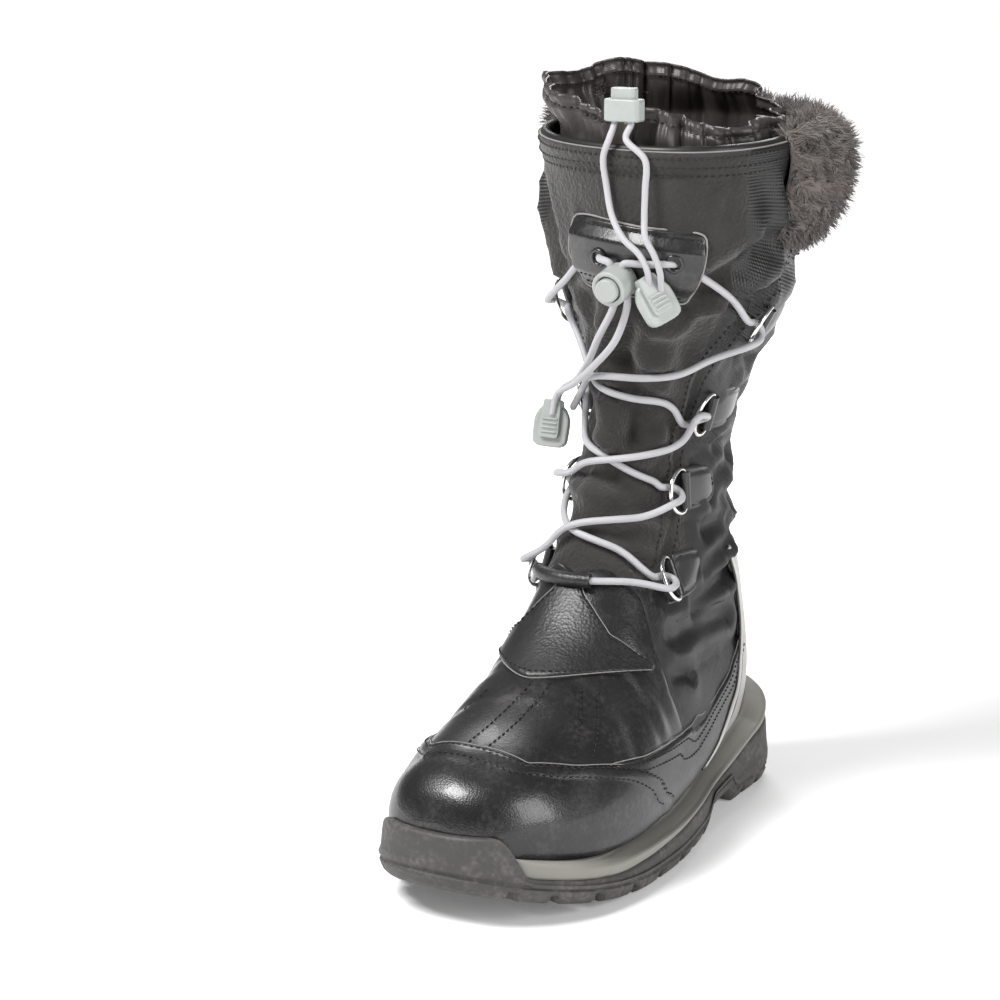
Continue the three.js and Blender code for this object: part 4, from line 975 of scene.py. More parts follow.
overlay(
    "toe_cap_leather",
    lambda u, v: 0.03 + v * (cap_edge((2 * u - 1) * CAP_REACH) - 0.03),
    lambda u, v: (2 * u - 1) * CAP_REACH,
    220, 90, leather, ["toe_cap"], cap_dents,
)
cap_angles = (2 * EDGE_STEPS - 1) * 100
for back in (1.8, 7.2):
    seam_on(cap_edge(cap_angles) - back / MM_PER_CAP_ROW, cap_angles, 2.5)
pale_line("toe_cap_edge", cap_edge(cap_angles) + 0.01, cap_angles, 1.4)

# %% Vamp
VAMP_BACK_ANGLES = [0, 20, 40, 54, 70, 95]
VAMP_BACK_ROWS = [8.6, 9.0, 9.0, 8.4, 8.2, 8.3]
VAMP_REACH = 97


def vamp_back(angle):
    return np.interp(np.abs(angle), VAMP_BACK_ANGLES, VAMP_BACK_ROWS)


def vamp_creases(row, angle):
    degrees = np.degrees(angle)
    lift = np.zeros_like(row)
    for centre_row, depth, width, lean in (
        (5.6, 0.9, 0.16, 0.3), (6.3, 1.1, 0.2, -0.2), (6.9, 0.9, 0.18, 0.25), (7.6, 1.0, 0.2, 0.1)
    ):
        along = centre_row + lean * degrees / 60
        lift -= depth * np.exp(-(((row - along) / width) ** 2)) * (0.4 + 0.6 * np.abs(np.sin(degrees / 40)))
    return lift - 0.9


overlay(
    "vamp_leather",
    lambda u, v: 3.7 + v * (vamp_back((2 * u - 1) * VAMP_REACH) - 3.7),
    lambda u, v: (2 * u - 1) * VAMP_REACH,
    200, 110, leather, [], vamp_creases, lift=1.6,
)
VAMP_LINES = [
    ((-22, 82), (-30, 74)), ((3, 87), (-4, 70)), ((12, 88), (6, 70)), ((26, 86), (46, 65)),
    ((34, 85), (53, 64))
]


def row_on_foot(angle, height):
    rows_tried = np.linspace(3, 10, 400)
    heights = skin(rows_tried, np.full(400, math.radians(angle)))[:, 2]
    return float(rows_tried[np.abs(heights - height).argmin()])


for (a0, z0), (a1, z1) in VAMP_LINES:
    ends = row_on_foot(a0, z0), row_on_foot(a1, z1)
    seam_on(ends[0] + (ends[1] - ends[0]) * EDGE_STEPS, a0 + (a1 - a0) * EDGE_STEPS, 0.95)

# %% Side panels
PANEL_TOP_ROWS = [5.5, 6.4, 7.32, 8.54, 9.52, 10.13, 11.1, 11.95]
PANEL_TOP_ANGLES = [63.6, 73.5, 80.7, 89.3, 92.1, 95, 99.3, 107.9]


def panel_map(u, v):
    """Between the cap's edge and the counter's edge, from the sole line to the panel's top line."""
    front = 5.45 + (1 - v) * 2.05
    back = 9.3 + v * 2.6
    row = front + (back - front) * u
    top = np.interp(row, PANEL_TOP_ROWS, PANEL_TOP_ANGLES)
    low = 119 + 6 * u
    return row, low + (top - low) * v


for side, sign in (("lateral", 1), ("medial", -1)):
    direction = (lambda u: u) if sign < 0 else (lambda u: 1 - u)
    overlay(
        f"side_panel_{side}_leather",
        lambda u, v, d=direction: panel_map(d(u), v)[0],
        lambda u, v, d=direction, s=sign: s * panel_map(d(u), v)[1],
        160, 40, leather, [f"side_panel_{side}"],
    )
    edge_rows, edge_angles = panel_map(EDGE_STEPS, np.ones(60))
    pale_line(f"side_panel_{side}_edge", edge_rows, sign * (edge_angles - 0.4), 1.3)
    for down in (2.2, 5.4):
        seam_on(edge_rows, sign * (edge_angles + down * 1.15), 2.3)

# %% Heel counter
COUNTER_LOW = 30
COUNTER_TOP = 124
COUNTER_EDGE_HEIGHTS = [27, 34, 41.5, 50, 68, 88, 106, 126]
COUNTER_EDGE_ANGLES = [128, 126, 118, 112, 108, 109, 108, 98]


def counter_map(u, v):
    height = COUNTER_LOW + v * (COUNTER_TOP - COUNTER_LOW)
    edge = np.interp(height, COUNTER_EDGE_HEIGHTS, COUNTER_EDGE_ANGLES)
    angle = edge + u * (360 - 2 * edge)
    return np.where(angle > 180, angle - 360, angle), height


def counter_shape(u, v):
    angle, height = counter_map(u, v)
    rise = -0.8 + (OVERLAY + GAP + 0.8) * rounded(edge_distance(u, v, 110, 95), 2.0)
    return on_skin(angle, height, rise)


counter = surface("heel_counter_leather", 150, 80, counter_shape, silver, wall=1.0)
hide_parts("heel_counter")
for side, name in ((0.0, "lateral"), (1.0, "medial")):
    angle, height = counter_map(np.full(40, side), np.linspace(0.02, 1, 40))
    shift = 1.2 if side == 0 else -1.2
    for offset, radius, paint, part in (
        (0, 1.3, piping_white, "white"), (1.9, 0.8, leather, "front"), (-1.9, 0.8, leather, "back")
    ):
        line = on_skin(angle - shift * (0.8 + offset), height, 1.9)
        made = tube(f"piping_{name}_{part}", line, radius, paint, spacing=3)

# %% Instep piece
INSTEP_TOP_ANGLES = [0, 5, 10.7, 20.7, 29.3, 45, 58]
INSTEP_TOP_ROWS = [8.45, 8.42, 8.1, 7.8, 7.6, 7.75, 8.05]
INSTEP_REACH = 57


def instep_map(u, v):
    angle = (2 * u - 1) * INSTEP_REACH
    top = np.interp(np.abs(angle), INSTEP_TOP_ANGLES, INSTEP_TOP_ROWS)
    low = 5.95 + 2.0 * (np.abs(angle) / INSTEP_REACH) ** 1.6
    return low + (top - low) * v, angle


overlay(
    "instep_leather",
    lambda u, v: instep_map(u, v)[0],
    lambda u, v: instep_map(u, v)[1],
    160, 70, grained, ["instep_overlay"], lift=2.4,
)
for v_line, name in ((0.0, "low"), (1.0, "top")):
    edge_rows, edge_angles = instep_map(np.linspace(0.02, 0.98, 60), np.full(60, v_line))
    pale_line(f"instep_edge_{name}", edge_rows, edge_angles, 1.8)
for v_line in (0.06, 0.92):
    edge_rows, edge_angles = instep_map(np.linspace(0.05, 0.95, 60), np.full(60, v_line))
    seam_on(edge_rows, edge_angles, 2.7)
loop = tube("lace_loop", loop_line, LOOP_LIFT - 0.9, grained, sides=6)

# %% [markdown]
# ## Seams of the shaft
# Every seam of the upper is a trough in the shell with thread in it. The stitches follow the shell's own
# lift, so they lie in its folds and channels.


# %% Shaft seams
def seam_on_shell(angles, heights, above=0.25):
    row = row_at(np.radians(angles), np.asarray(heights, float))
    angle = np.radians(angles)
    stitch(skin_at(row, angle, upper_lift(row, angle) + above), skin_normal(row, angle))


for sign in (1, -1):
    rows_up = np.linspace(9.4, 16.7, 120)
    for beside in (-2.6, 2.8):
        angle = sign * np.radians(front_edge(rows_up) + beside / MM_PER_DEGREE)
        stitch(skin_at(rows_up, angle, upper_lift(rows_up, angle) + 0.25), skin_normal(rows_up, angle))
    for seam_height in CHANNEL_SEAMS[1:]:
        start = 62 if seam_height < 250 else 84
        angles = np.linspace(start, 172, 90)
        heights = seam_height + 3 * np.sin(2 * np.radians(angles))
        seam_on_shell(sign * angles, heights)
collar_angles = np.linspace(-176, 176, 260)
collar_heights = skin(np.full(260, COLLAR), np.radians(collar_angles))[:, 2]
for below in (2.4, 7.0, 10.8):
    seam_on_shell(collar_angles, collar_heights - below)
band_angles = np.linspace(-100, 100, 120)
collar_line = skin_at(np.full(120, COLLAR), np.radians(band_angles), np.full(120, 0.4))
collar_edge = tube("collar_edge", collar_line, 0.55, pale_edge, sides=2, spacing=3)
collar_roll = tube(
    "collar_roll",
    skin_at(np.full(120, COLLAR), np.linspace(-np.pi, np.pi, 120, endpoint=False), np.full(120, -2.2)),
    2.4, textile, closed=True, sides=6, spacing=3,
)

# %% [markdown]
# ## Rings and tabs
# A leather tab, round at one end, is folded over the straight bar of each D ring and stitched to the shaft.
# The ring is bent wire, so it is a closed curve with a bevel; the tab is a puffed grid with a rolled fold.

# %% Rings and tabs
RING_OUTLINE = [
    (RING_BAR, -0.86), (RING_BAR, 0), (RING_BAR, 0.86), (1.5, 1), (-3.5, 0.84), (-7, 0.5),
    (RING_NOSE, 0), (-7, -0.5), (-3.5, -0.84), (1.5, -1),
]
TAB_START = 3.4
TAB_END = 32.0
TAB_HALF = 11.5
TAB_TAPER = 0.4
TAB_SEAM = [
    (0.16, 0.14), (0.4, 0.13), (0.62, 0.14), (0.8, 0.2), (0.9, 0.35), (0.93, 0.5), (0.9, 0.65),
    (0.8, 0.8), (0.62, 0.86), (0.4, 0.87), (0.16, 0.86),
]


def tab_half(u):
    t = np.clip((u - TAB_TAPER) / (1 - TAB_TAPER), 0, 1)
    return TAB_HALF * np.maximum(0.12, np.sqrt(np.clip(1 - t**2.4, 0, 1)))


def tab_point(s, u, v, lift):
    return on_skin(
        s["angle"] + (TAB_START + u * (TAB_END - TAB_START)) * s["per_mm"],
        s["height"] + (2 * v - 1) * tab_half(u), lift
    )


def tab_shape(s):
    def shape(u, v):
        ends = edge_distance(u, v, TAB_END - TAB_START, 2 * TAB_HALF * 0.9)
        pillow = 1.6 * np.sin(np.pi * np.clip((u - 0.12) / 0.8, 0, 1)) * np.sin(np.pi * v) ** 0.7
        groove = -0.9 * np.exp(-(((ends - 3.2) / 0.9) ** 2))
        return tab_point(s, u, v, -1.5 + 3.9 * rounded(ends, 2.2) + pillow + groove)

    return shape


for name, s in rings.items():
    wire = [
        place(s, back, rise * RING_HALF, RING_LIFT + (RING_BAR - back) * RING_TILT)
        for back, rise in RING_OUTLINE
    ]
    ring = tube(f"ring_{name}", wire, WIRE / 2, steel, closed=True, sides=4, spacing=1.2)
    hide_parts(f"d_ring_{name}")
    # The tab takes the lighter leather, a painted sheen.
    tab = surface(f"tab_{name}", 34, 26, tab_shape(s), tab_leather_painted_sheen, wall=1.0, size=(0.03, 0.024))
    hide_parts(f"ring_tab_{name}")
    fold = tube(
        f"tab_fold_{name}", [place(s, RING_BAR + 0.4, rise, RING_LIFT) for rise in (-8.6, -4, 0, 4, 8.6)],
        2.6, leather, sides=6
    )
    line = np.array([tab_point(s, np.float64(u), np.float64(v), 2.1) for u, v in TAB_SEAM])
    stitch(smooth_path(line, 1.5), np.repeat(s["out"][None], len(smooth_path(line, 1.5)), axis=0), step=2.9)

# %% [markdown]
# ## Lace patch, locks and clips
# The patch is a leather rectangle stitched along its top and bottom bands; the lace runs behind it and comes
# out through two eyelets. The cord lock is a round plastic body with a spring button, and each pair of cord
# ends is gripped by a moulded clip. The buttons are the only parts that move.

# %% Lace patch
PATCH_ANGLES = (-29, 34)
PATCH_HEIGHT = 275
PATCH_HALF = 16.5
PATCH_SLANT = 6
PATCH_TUNNEL = 4.4


def patch_lift(v):
    return PATCH_TUNNEL * smooth_step(0.08, 0.32, v) * (1 - smooth_step(0.74, 0.95, v))


def patch_place(u, v, lift):
    angle = PATCH_ANGLES[0] + (PATCH_ANGLES[1] - PATCH_ANGLES[0]) * u
    return on_skin(angle, PATCH_HEIGHT + (2 * v - 1) * PATCH_HALF - (u - 0.5) * PATCH_SLANT, lift)


def patch_shape(u, v):
    corner = 0.10
    cu, cv = np.minimum(u, 1 - u), np.minimum(v, 1 - v)
    pull = np.clip(corner - cu, 0, 1) * np.clip(2 * corner - cv, 0, 1) * 3
    v = v + np.sign(0.5 - v) * pull
    ends = edge_distance(u, v, 60, 33)
    dimple = sum(-1.2 * np.exp(-(((u - at) * 60) ** 2 + ((v - 0.55) * 33) ** 2) / 9.0) for at in (0.27, 0.78))
    return patch_place(u, v, -0.6 + (GAP + OVERLAY + 0.7) * rounded(ends, 1.6) + patch_lift(v) + dimple)


patch = surface("patch_leather", 90, 60, patch_shape, leather, wall=1.2, size=(0.06, 0.033))
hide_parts("lace_patch")
rim = [
    (0.03, 0.02), (0.5, 0.005), (0.97, 0.02), (0.995, 0.12), (0.998, 0.5), (0.995, 0.88), (0.97, 0.98),
    (0.5, 0.995), (0.03, 0.98), (0.005, 0.88), (0.002, 0.5), (0.005, 0.12)
]
rim_line = [patch_place(np.float64(u), np.float64(v), GAP + OVERLAY - 0.3 + patch_lift(v)) for u, v in rim]
patch_edge = tube("patch_edge", rim_line, 0.5, pale_edge, closed=True, sides=2, spacing=2)
for v_line in (0.08, 0.22, 0.78, 0.92):
    run = np.linspace(0.05, 0.95, 40)
    line = patch_place(run, np.full(40, v_line), GAP + OVERLAY + 0.25 + patch_lift(v_line))
    stitch(line, np.repeat(spot(3, PATCH_HEIGHT)["out"][None], 40, axis=0), step=3.0)
EYELET_RADIUS = 3.6
EYELET_LIFT = 6.4
for angle in (-12, 20):
    s = spot(angle, 277)
    turns = np.linspace(0, 2 * math.pi, 12, endpoint=False)
    circle = [place(s, EYELET_RADIUS * math.cos(t), EYELET_RADIUS * math.sin(t), EYELET_LIFT) for t in turns]
    eyelet = tube(f"eyelet_{'inner' if angle < 0 else 'outer'}", circle, 1.0, leather, closed=True, sides=4)


# %% Plastic parts
def in_spot(s, back, rise, lift):
    """A frame whose X runs to the side, Y up and Z out, as a 4x4 in metres."""
    x = s["along"] * s["side"]
    centre = place(s, back, rise, lift) * MM
    return Matrix([[x[k], s["up"][k], np.cross(x, s["up"])[k], centre[k]] for k in range(3)] + [[0, 0, 0, 1]])


def plastic_piece(name, bm, matrix, replaced, body=BODY, bevel=0.8):
    for face in bm.faces:
        face.smooth = True
    bm.transform(matrix)
    bmesh.ops.recalc_face_normals(bm, faces=bm.faces)
    data = bpy.data.meshes.new(name)
    bm.to_mesh(data)
    bm.free()
    data.materials.append(plastic)
    made = bpy.data.objects.new(name, data)
    bpy.context.collection.objects.link(made)
    if bevel:
        soften = made.modifiers.new("soften", "BEVEL")
        soften.width = bevel * MM
        soften.segments = 3
        soften.limit_method = "ANGLE"
        soften.harden_normals = True
    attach(made, body)
    if replaced:
        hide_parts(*replaced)
    return made


def drum(radius, depth, segments=48):
    bm = bmesh.new()
    bmesh.ops.create_cone(
        bm, cap_ends=True, segments=segments, radius1=radius * MM, radius2=radius * MM, depth=depth * MM
    )
    return bm


def recess(bm, radius, depth):
    """Sinks a round bore into a drum's top."""
    top = max(bm.faces, key=lambda face: face.calc_center_median().z + (1 if len(face.verts) > 4 else 0))
    bmesh.ops.inset_individual(bm, faces=[top], thickness=(LOCK_RADIUS - radius) * MM)
    moved = bmesh.ops.extrude_face_region(bm, geom=[top])["geom"]
    low = [v for v in moved if isinstance(v, bmesh.types.BMVert)]
    bmesh.ops.translate(bm, verts=low, vec=(0, 0, -depth * MM))
    bmesh.ops.delete(bm, geom=[top], context="FACES_ONLY")


BUTTON_RADIUS = 5.5
BUTTON_LENGTH = 6.5
BUTTON_TRAVEL = 2.8
BUTTON_GAP = 0.4
BORE_FLOOR = 5.6
BORE_DEPTH = 8.4
BORE_ROOM = 0.5
lock_bm = drum(LOCK_RADIUS, LOCK_DEPTH)
recess(lock_bm, BUTTON_RADIUS + BORE_ROOM, BORE_DEPTH)
plastic_piece(
    "lock_body", lock_bm, in_spot(lock_spot, 0, 0, LOCK_BACK + LOCK_DEPTH / 2), ["lace_lock"]
)
button_lift = LOCK_BACK + BORE_FLOOR + BUTTON_GAP + BUTTON_TRAVEL + BUTTON_LENGTH / 2
plastic_piece(
    "lock_button", drum(BUTTON_RADIUS, BUTTON_LENGTH), in_spot(lock_spot, 0, 0, button_lift),
    ["lace_lock_button"], "lace_button",
)

# %% Clips and drawcord lock
CLIP_WIDTH = 18.0
CLIP_HEIGHT = 23.0
CLIP_DEPTH = 7.0
CLIP_RIBS = 4
CLIP_RIB_STEP = 2.1


def slab(outline, depth):
    """A slab with a rounded outline, extruded along Z about its middle."""
    bm = bmesh.new()
    corners = [bm.verts.new((x * MM, y * MM, -depth / 2 * MM)) for x, y in outline]
    face = bm.faces.new(corners)
    moved = bmesh.ops.extrude_face_region(bm, geom=[face])["geom"]
    high = [v for v in moved if isinstance(v, bmesh.types.BMVert)]
    bmesh.ops.translate(bm, verts=high, vec=(0, 0, depth * MM))
    return bm


def round_outline(points, radius_steps=5, cut=0.3):
    """Cuts each corner of an outline with a short curve."""
    out = []
    n = len(points)
    for i in range(n):
        a, b, c = (np.array(points[(i + k) % n], float) for k in (-1, 0, 1))
        for t in np.linspace(0, 1, radius_steps):
            p, q = b + (a - b) * cut, b + (c - b) * cut
            out.append((1 - t) ** 2 * p + 2 * t * (1 - t) * b + t**2 * q)
    return out


w, h = CLIP_WIDTH / 2, CLIP_HEIGHT / 2
shell_outline = round_outline(
    [(-w * 0.62, h * 0.75), (w * 0.62, h * 0.75), (w, h * 0.2),
     (w * 0.95, -h), (-w * 0.95, -h), (-w, h * 0.2)]
)
block_outline = round_outline(
    [(-w * 0.5, h), (w * 0.5, h), (w * 0.55, -h * 0.62), (-w * 0.55, -h * 0.62)], cut=0.15
)


def hanging(s, lift, facing, roll, rise=0.0, proud=0.0):
    """A clip's frame: it hangs on its cords, turned to face a way of its own."""
    z = np.array(facing, float) / np.linalg.norm(facing)
    y = s["up"] - z * s["up"].dot(z)
    y /= np.linalg.norm(y)
    x = np.cross(y, z)
    turn = math.radians(roll)
    x, y = x * math.cos(turn) + y * math.sin(turn), y * math.cos(turn) - x * math.sin(turn)
    centre = (place(s, 0, 0, lift) + y * rise + z * proud) * MM
    return Matrix([[x[k], y[k], z[k], centre[k]] for k in range(3)] + [[0, 0, 0, 1]])


CLIPS = (
    ("lace_clip", lace_clip_spot, LACE_CLIP_LIFT, (0.25, -1, 0.25), 8),
    ("drawcord_clip", draw_clip_spot, DRAW_CLIP_LIFT, (0.75, -0.7, 0.3), 14),
)
for name, s, lift, facing, roll in CLIPS:
    plastic_piece(
        f"{name}_shell", slab(shell_outline, CLIP_DEPTH - 2.2), hanging(s, lift, facing, roll, 0, -0.4),
        [name], bevel=1.3
    )
    plastic_piece(
        f"{name}_block", slab(block_outline, CLIP_DEPTH), hanging(s, lift, facing, roll, 0, 0.7), [],
        bevel=0.7
    )
    for k in range(CLIP_RIBS):
        rib_bm = bmesh.new()
        bmesh.ops.create_cube(rib_bm, size=MM)
        bmesh.ops.scale(rib_bm, vec=(CLIP_WIDTH * 0.42, 0.9, 1.4), verts=rib_bm.verts)
        plastic_piece(
            f"{name}_rib_{k + 1}", rib_bm,
            hanging(s, lift, facing, roll, 2 - k * CLIP_RIB_STEP, CLIP_DEPTH / 2 + 0.7), [], bevel=0.3
        )
stadium = round_outline([(-9, -4.5), (9, -4.5), (9, 4.5), (-9, 4.5)], cut=0.24)
plastic_piece(
    "drawcord_lock_body", slab(stadium, 10.2), Matrix.Translation(Vector(draw_at(0, 0, -0.3)) * MM),
    ["drawcord_lock"], bevel=1.2
)
plastic_piece(
    "drawcord_button", slab([(p[0] * 0.68, p[1] * 0.62) for p in stadium], 7.4),
    Matrix.Translation(Vector(draw_at(0, 0, 6.0)) * MM), ["drawcord_lock_button"], "cuff_button", bevel=0.9,
)
print("plastic parts made")

# %% [markdown]
# ## Snow cuff and fur
# The nylon cuff is gathered by its drawstring, so it is a thin ring of cloth with many uneven pleats and a
# rolled channel at its top. The fur rim is a padded band with thousands of short, tapered hairs that lean
# down and out, made as copies of one small cone.

# %% Snow cuff
CUFF_FOOT = SHAFT_HEIGHT - 42


def cuff_top(angle):
    return SHAFT_HEIGHT + 14 - 9 * np.sin(np.radians(angle)) - 4 * np.cos(np.radians(angle))


def cuff_shape(u, v):
    angle = -180 + 360 * u
    top = cuff_top(angle)
    wave = np.radians(angle)
    ragged = 1.6 * np.sin(5 * wave + 1) + 1.0 * np.sin(9 * wave + 2)
    height = CUFF_FOOT + (top + ragged - CUFF_FOOT) * v
    spread = 15 * np.clip(np.cos(np.radians(angle + 75)), 0, 1) ** 1.5
    lean = (6 - spread) * smooth_step(SHAFT_HEIGHT - 2, SHAFT_HEIGHT + 12, height)
    warp = wave + 0.35 * np.sin(3 * wave + 0.7) * 0.3
    pleats = 2.2 * np.sin(12 * warp) + 1.5 * np.sin(23 * warp + 1.3 + 2 * v)
    pleats = pleats + 0.8 * np.sin(41 * warp + 4 * v) + 0.5 * np.sin(67 * warp)
    pinch = smooth_step(0.35, 0.9, v)
    channel = 1.1 * np.exp(-(((v - 0.965) / 0.03) ** 2)) - 0.9 * np.exp(-(((v - 0.9) / 0.018) ** 2))
    inset = WALL + 3.4 + lean + 1.7 * pinch - pleats * (0.25 + 0.75 * pinch) - channel
    return on_skin(angle, height, -inset)


cuff = surface("cuff_nylon", 360, 70, cuff_shape, nylon, wall=0.9, wrap=True, size=(0.36, 0.06))
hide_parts("snow_cuff")
run = np.linspace(0, 1, 500)
cuff_line = cuff_shape(run, np.full(500, 0.895))
middle = cuff_line.mean(0)
outward = (cuff_line - middle) * np.array([1, 1, 0.0])
outward /= np.linalg.norm(outward, axis=1, keepdims=True)
stitch(cuff_line + outward * 0.25, outward)
stitch(cuff_line - outward * 1.2, -outward)

# %% Fur
FUR_PROFILE_HEIGHTS = np.array([277, 279, 285, 297, 310, 322, 331, 336, 334, 328])
FUR_PROFILE_LIFTS = np.array([0.5, 5, 12, 18, 21, 21, 16, 6, -3, -6])
FUR_FROM, FUR_TO = 78, 264
FUR_MIDDLE = 307


def fur_place(u, v, out=0.0):
    angle = FUR_FROM + (FUR_TO - FUR_FROM) * u
    angle = np.where(angle > 180, angle - 360, angle)
    swell = 0.15 + 0.85 * np.minimum(1, np.sin(np.pi * np.clip(u, 0.0001, 0.9999)) * 2.2) ** 0.7
    at = v * (len(FUR_PROFILE_HEIGHTS) - 1)
    index = np.arange(len(FUR_PROFILE_HEIGHTS))
    height = np.interp(at, index, FUR_PROFILE_HEIGHTS) - FUR_MIDDLE
    height = FUR_MIDDLE + height * (0.8 + 0.2 * swell)
    height = height + 10 * smooth_step(150, 215, FUR_FROM + (FUR_TO - FUR_FROM) * u) * v
    lumps = 1.3 * np.sin(u * 37 + v * 5) * np.sin(v * 13 + u * 19)
    lift = np.interp(at, index, FUR_PROFILE_LIFTS) * swell + lumps * np.sin(np.pi * v)
    return on_skin(angle, height, lift + out)


fur_core = surface("fur_core", 110, 36, fur_place, fur_paint, wall=1.0, size=(0.25, 0.08))
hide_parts("fur_cuff")
HAIRS = 13000
rng = np.random.default_rng(7)
u, v = rng.random(HAIRS), rng.random(HAIRS) ** 0.9
root = fur_place(u, v)
step = 0.004
normal = np.cross(fur_place(u + step, v) - root, fur_place(u, v + step) - root)
normal /= np.linalg.norm(normal, axis=1, keepdims=True) + 1e-9
clump = np.stack(
    [
        np.sin(root[:, 1] * 0.45 + root[:, 2] * 0.3),
        np.cos(root[:, 0] * 0.5 - root[:, 2] * 0.35),
        np.sin(root[:, 0] * 0.4 + root[:, 2] * 0.5),
    ],
    axis=1,
)
aim = normal + clump * 0.55 + rng.normal(0, 0.28, (HAIRS, 3)) + np.array([0, 0, -0.35])
aim /= np.linalg.norm(aim, axis=1, keepdims=True)
length = rng.uniform(4.0, 8.0, HAIRS)[:, None]
side = np.cross(aim, rng.normal(0, 1, (HAIRS, 3)))
side /= np.linalg.norm(side, axis=1, keepdims=True)
other = np.cross(aim, side)
frames = np.stack([side * 0.42, other * 0.42, aim * length, root - aim * 0.4], axis=2)
hair_bm = bmesh.new()
bmesh.ops.create_cone(hair_bm, cap_ends=False, segments=3, radius1=1, radius2=0.15, depth=1)
bmesh.ops.translate(hair_bm, verts=hair_bm.verts, vec=(0, 0, 0.5))
hair = copies("fur_hair", hair_bm, frames, fur_paint)
print("hairs", HAIRS)

# %% [markdown]
# ## Sole
# The outsole is a rubber cup with a wall, a thick toe bumper that steps down on each side, and lugs. It is
# one sheet wrapped round the sole: round its outline one way, and from the middle of the tread out and up
# over the wall the other way. The midsole is the pale band between it and the upper.

# %% Sole outline
SOLE_ROWS = np.array([
    (-13, 33.3, 33.3, 0, 33, 50), (-7.2, 34.3, 34.3, 0, 29, 43), (0, 33.8, 34.7, 0, 25, 35),
    (10.1, 32.4, 36.1, 0, 18, 27), (21.7, 33.3, 40.7, 0, 15, 23), (32.5, 38.9, 47.7, 0, 14, 22),
    (43.3, 44.4, 53.7, -0.9, 14, 22), (56, 46.8, 55.6, -1.9, 14, 22), (66.8, 45.8, 54.6, -3.7, 16, 24),
    (87, 42.6, 47.2, -5.6, 26, 34),
]) * np.array([SOLE_LENGTH, BALL_WIDTH, BALL_WIDTH, BALL_WIDTH, 100, 100]) / 100
SOLE_BACK, SOLE_FRONT = -36.0, 241.0
HEEL_ROUND, TOE_ROUND = 40, 62
SOLE_KEYS = {"medial": 1, "lateral": 2, "shift": 3, "wall": 4, "bite": 5}


def along(key, forward):
    """A smooth column of the sole's table at a distance forward."""
    f = SOLE_ROWS[:, 0]
    i = np.clip(np.searchsorted(f, forward) - 1, 0, len(f) - 2)
    t = np.clip((forward - f[i]) / (f[i + 1] - f[i]), 0, 1)
    column = SOLE_ROWS[:, SOLE_KEYS[key]]
    a, b, c, d = (column[np.clip(i + k, 0, len(f) - 1)] for k in (-1, 0, 1, 2))
    return 0.5 * (2 * b + (c - a) * t + (2 * a - 5 * b + 4 * c - d) * t**2 + (3 * b - a - 3 * c + d) * t**3)


def round_end(distance, reach, power):
    return (1 - (1 - np.clip(distance / reach, 0, 1)) ** power) ** (1 / power)


def sole_half(forward, lateral, margin):
    heel = round_end(forward - SOLE_BACK + margin, HEEL_ROUND + margin, 2.3)
    toe = round_end(SOLE_FRONT - forward + margin, TOE_ROUND + margin, 2.35)
    half = np.where(lateral, along("lateral", forward), along("medial", forward))
    return (half + margin) * (heel * toe)


def tread_level(f):
    spring = 17 * np.clip((f - 150) / (SOLE_FRONT - 150), 0, 1) ** 1.6
    bevel = 8 * np.clip((-12 - f) / 24, 0, 1) ** 2
    arch = 7.5 * smooth_step(27, 36, f) * (1 - smooth_step(60, 79, f))
    return spring + bevel + arch


BUMPER_FROM, BUMPER_TO = 221, 231
BUMPER_TOP = 42
GROOVE_DEPTH = 4.2


def side_wall(f):
    """The outsole's wall behind the toe bumper; it stands a little higher round the heel."""
    return along("wall", f) + 3.5 * (1 - smooth_step(90, 180, f))


def wall_top(f):
    bumper = smooth_step(BUMPER_FROM, BUMPER_TO, f)
    return side_wall(f) * (1 - bumper) + BUMPER_TOP * bumper


# columns: share of the half width, margin, and level: from tread, from wall top, and its share between them
OUTSOLE_PROFILE = np.array([
    (0.0, -4, 0, 0, 0), (0.2, -4, 0, 0, 0), (0.4, -4, 0, 0, 0), (0.6, -4, 0, 0, 0),
    (0.8, -4, 0, 0, 0), (0.95, -4, 0, 0, 0), (1, -4, 0, 0, 0), (1, -3.0, 0.5, 0, 0),
    (1, -1.4, 2.0, 0, 0), (1, -0.4, 4.4, 0, 0), (1, 0.2, 6.2, 0, 0), (1, -0.9, 6.9, 0, 0.02),
    (1, -0.9, 7.6, 0, 0.04), (1, 0.4, 8.3, 0, 0.06), (1, 0.5, 8.8, 0, 0.2), (1, -0.1, 4.4, -2, 0.55),
    (1, -0.7, 0, -2.6, 1), (1, -1.1, 0, -1.2, 1), (1, -1.9, 0, -0.35, 1), (1, -3.2, 0, 0, 1),
    (1, -6, 0, -0.6, 1), (1, -12, 0, -3, 1),
])
GROOVES = [(-22, 12, 4), (-6, 12, 4), (10, 12, 4),
           (93, -10, 4.5), (111, -10, 4.5), (129, -10, 4.5), (147, -6, 4.5),
           (165, 0, 4.5), (183, 8, 4.5), (201, 14, 4.5), (217, 18, 4)]


def sole_point(u, margin, level, half_share=1.0):
    lateral = u < 0.5
    t = np.where(lateral, u * 2, 2 - u * 2)
    f = SOLE_BACK - margin + (SOLE_FRONT - SOLE_BACK + 2 * margin) * (1 - np.cos(np.pi * t)) / 2
    sign = np.where(lateral, 1, -1)
    half = sole_half(f, lateral, margin)
    return along("shift", f) + sign * half * half_share, f, level(f)


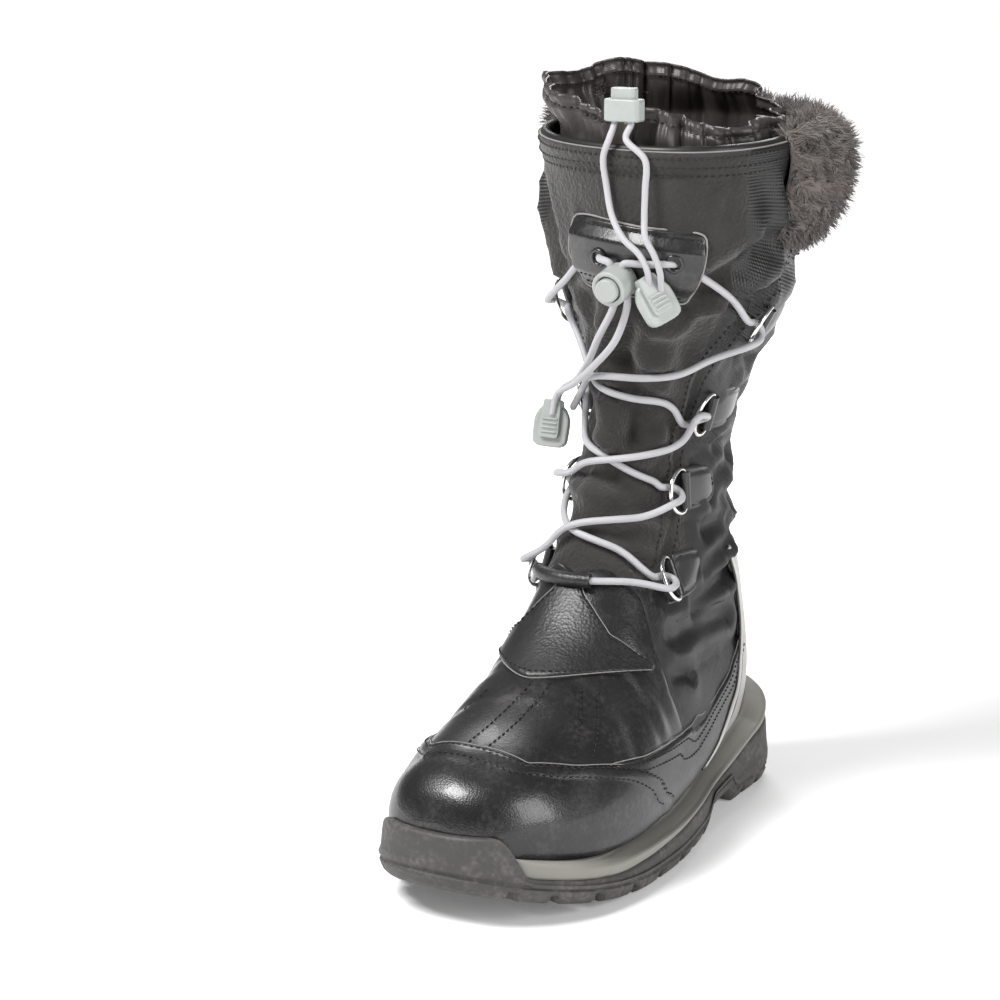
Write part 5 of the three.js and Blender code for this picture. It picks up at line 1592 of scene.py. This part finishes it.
def outsole_shape(u, v):
    at = v * (len(OUTSOLE_PROFILE) - 1)
    index = np.arange(len(OUTSOLE_PROFILE))
    share, margin, rise, drop, mix = (np.interp(at, index, OUTSOLE_PROFILE[:, k]) for k in range(5))
    side, f, _ = sole_point(u, margin, tread_level, share)
    low, high = tread_level(f) + rise, wall_top(f) + drop
    level = low * (1 - mix) + high * mix
    near_tread = np.where(at < 10.5, 1.0, 0.0)
    depth = np.zeros_like(f)
    for place_at, slant, width in GROOVES:
        d = np.abs(f - place_at - math.tan(math.radians(slant)) * np.abs(side))
        depth = np.maximum(depth, smooth_step(width / 2 + 0.7, width / 2 - 0.4, d) * (np.abs(side) > 1.5))
    level = level + near_tread * depth * np.clip(
        GROOVE_DEPTH - (level - tread_level(f)), 0, GROOVE_DEPTH
    )
    shrink = 1 - near_tread * depth * np.where(share > 0.99, 0.045, 0)
    return np.stack([side * shrink, -f, level], -1)


outsole = surface("outsole_rubber", 520, 66, outsole_shape, rubber, wrap=True, size=(0.7, 0.1))
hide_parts("outsole")

MIDSOLE_PROFILE = np.array([
    (-5, 0, -3, 0), (-2.4, 0, -0.5, 0), (-1.3, 0, 0.6, 0), (-0.9, 0, 0, 0.4),
    (-0.9, -2.4, 0, 1), (-1.3, -1.0, 0, 1), (-2.2, -0.2, 0, 1), (-3.6, 0, 0, 1),
    (-7, -0.4, 0, 1), (-13, -3, 0, 1),
])


def midsole_shape(u, v):
    at = v * (len(MIDSOLE_PROFILE) - 1)
    index = np.arange(len(MIDSOLE_PROFILE))
    margin, drop, rise, mix = (np.interp(at, index, MIDSOLE_PROFILE[:, k]) for k in range(4))
    side, f, _ = sole_point(u, margin, tread_level)
    hidden = smooth_step(BUMPER_FROM - 2, BUMPER_TO + 2, f)
    heel = 0.65 + 0.35 * (1 - smooth_step(10, 110, f))
    f_in = 1 - np.clip((at - 3.5) / 2, 0, 1) * heel * 0.26 * (1 - smooth_step(150, 215, f))
    low, high = side_wall(f) + rise, along("bite", f) + drop
    level = low * (1 - mix) + high * mix
    inward = 1 - 0.08 * hidden
    back = np.where(f < 0, f_in, 1.0)
    return np.stack([side * inward * f_in, -f * (1 - 0.012 * hidden) * back, level], -1)


midsole = surface("midsole_foam", 420, 36, midsole_shape, foam, wrap=True, size=(0.7, 0.03))
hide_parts("midsole")
insole = nodes["insole"]
insole.data.materials.clear()
insole.data.materials.append(fleece)
print("sole made")

# %% [markdown]
# ## Cords and stitches
# The lace goes back into its lock at both ends, and the four cord ends run into clips. Their lengths are
# measured along the routes above.

# %% Cords and stitches
for name, made in cords.items():
    thickness = CORD if name.startswith("lace") else DRAWCORD
stitch_bm = bmesh.new()
bmesh.ops.create_icosphere(stitch_bm, subdivisions=1, radius=1)
stitches = copies("stitches", stitch_bm, stitch_frames, thread)
print("stitches", len(stitch_frames))
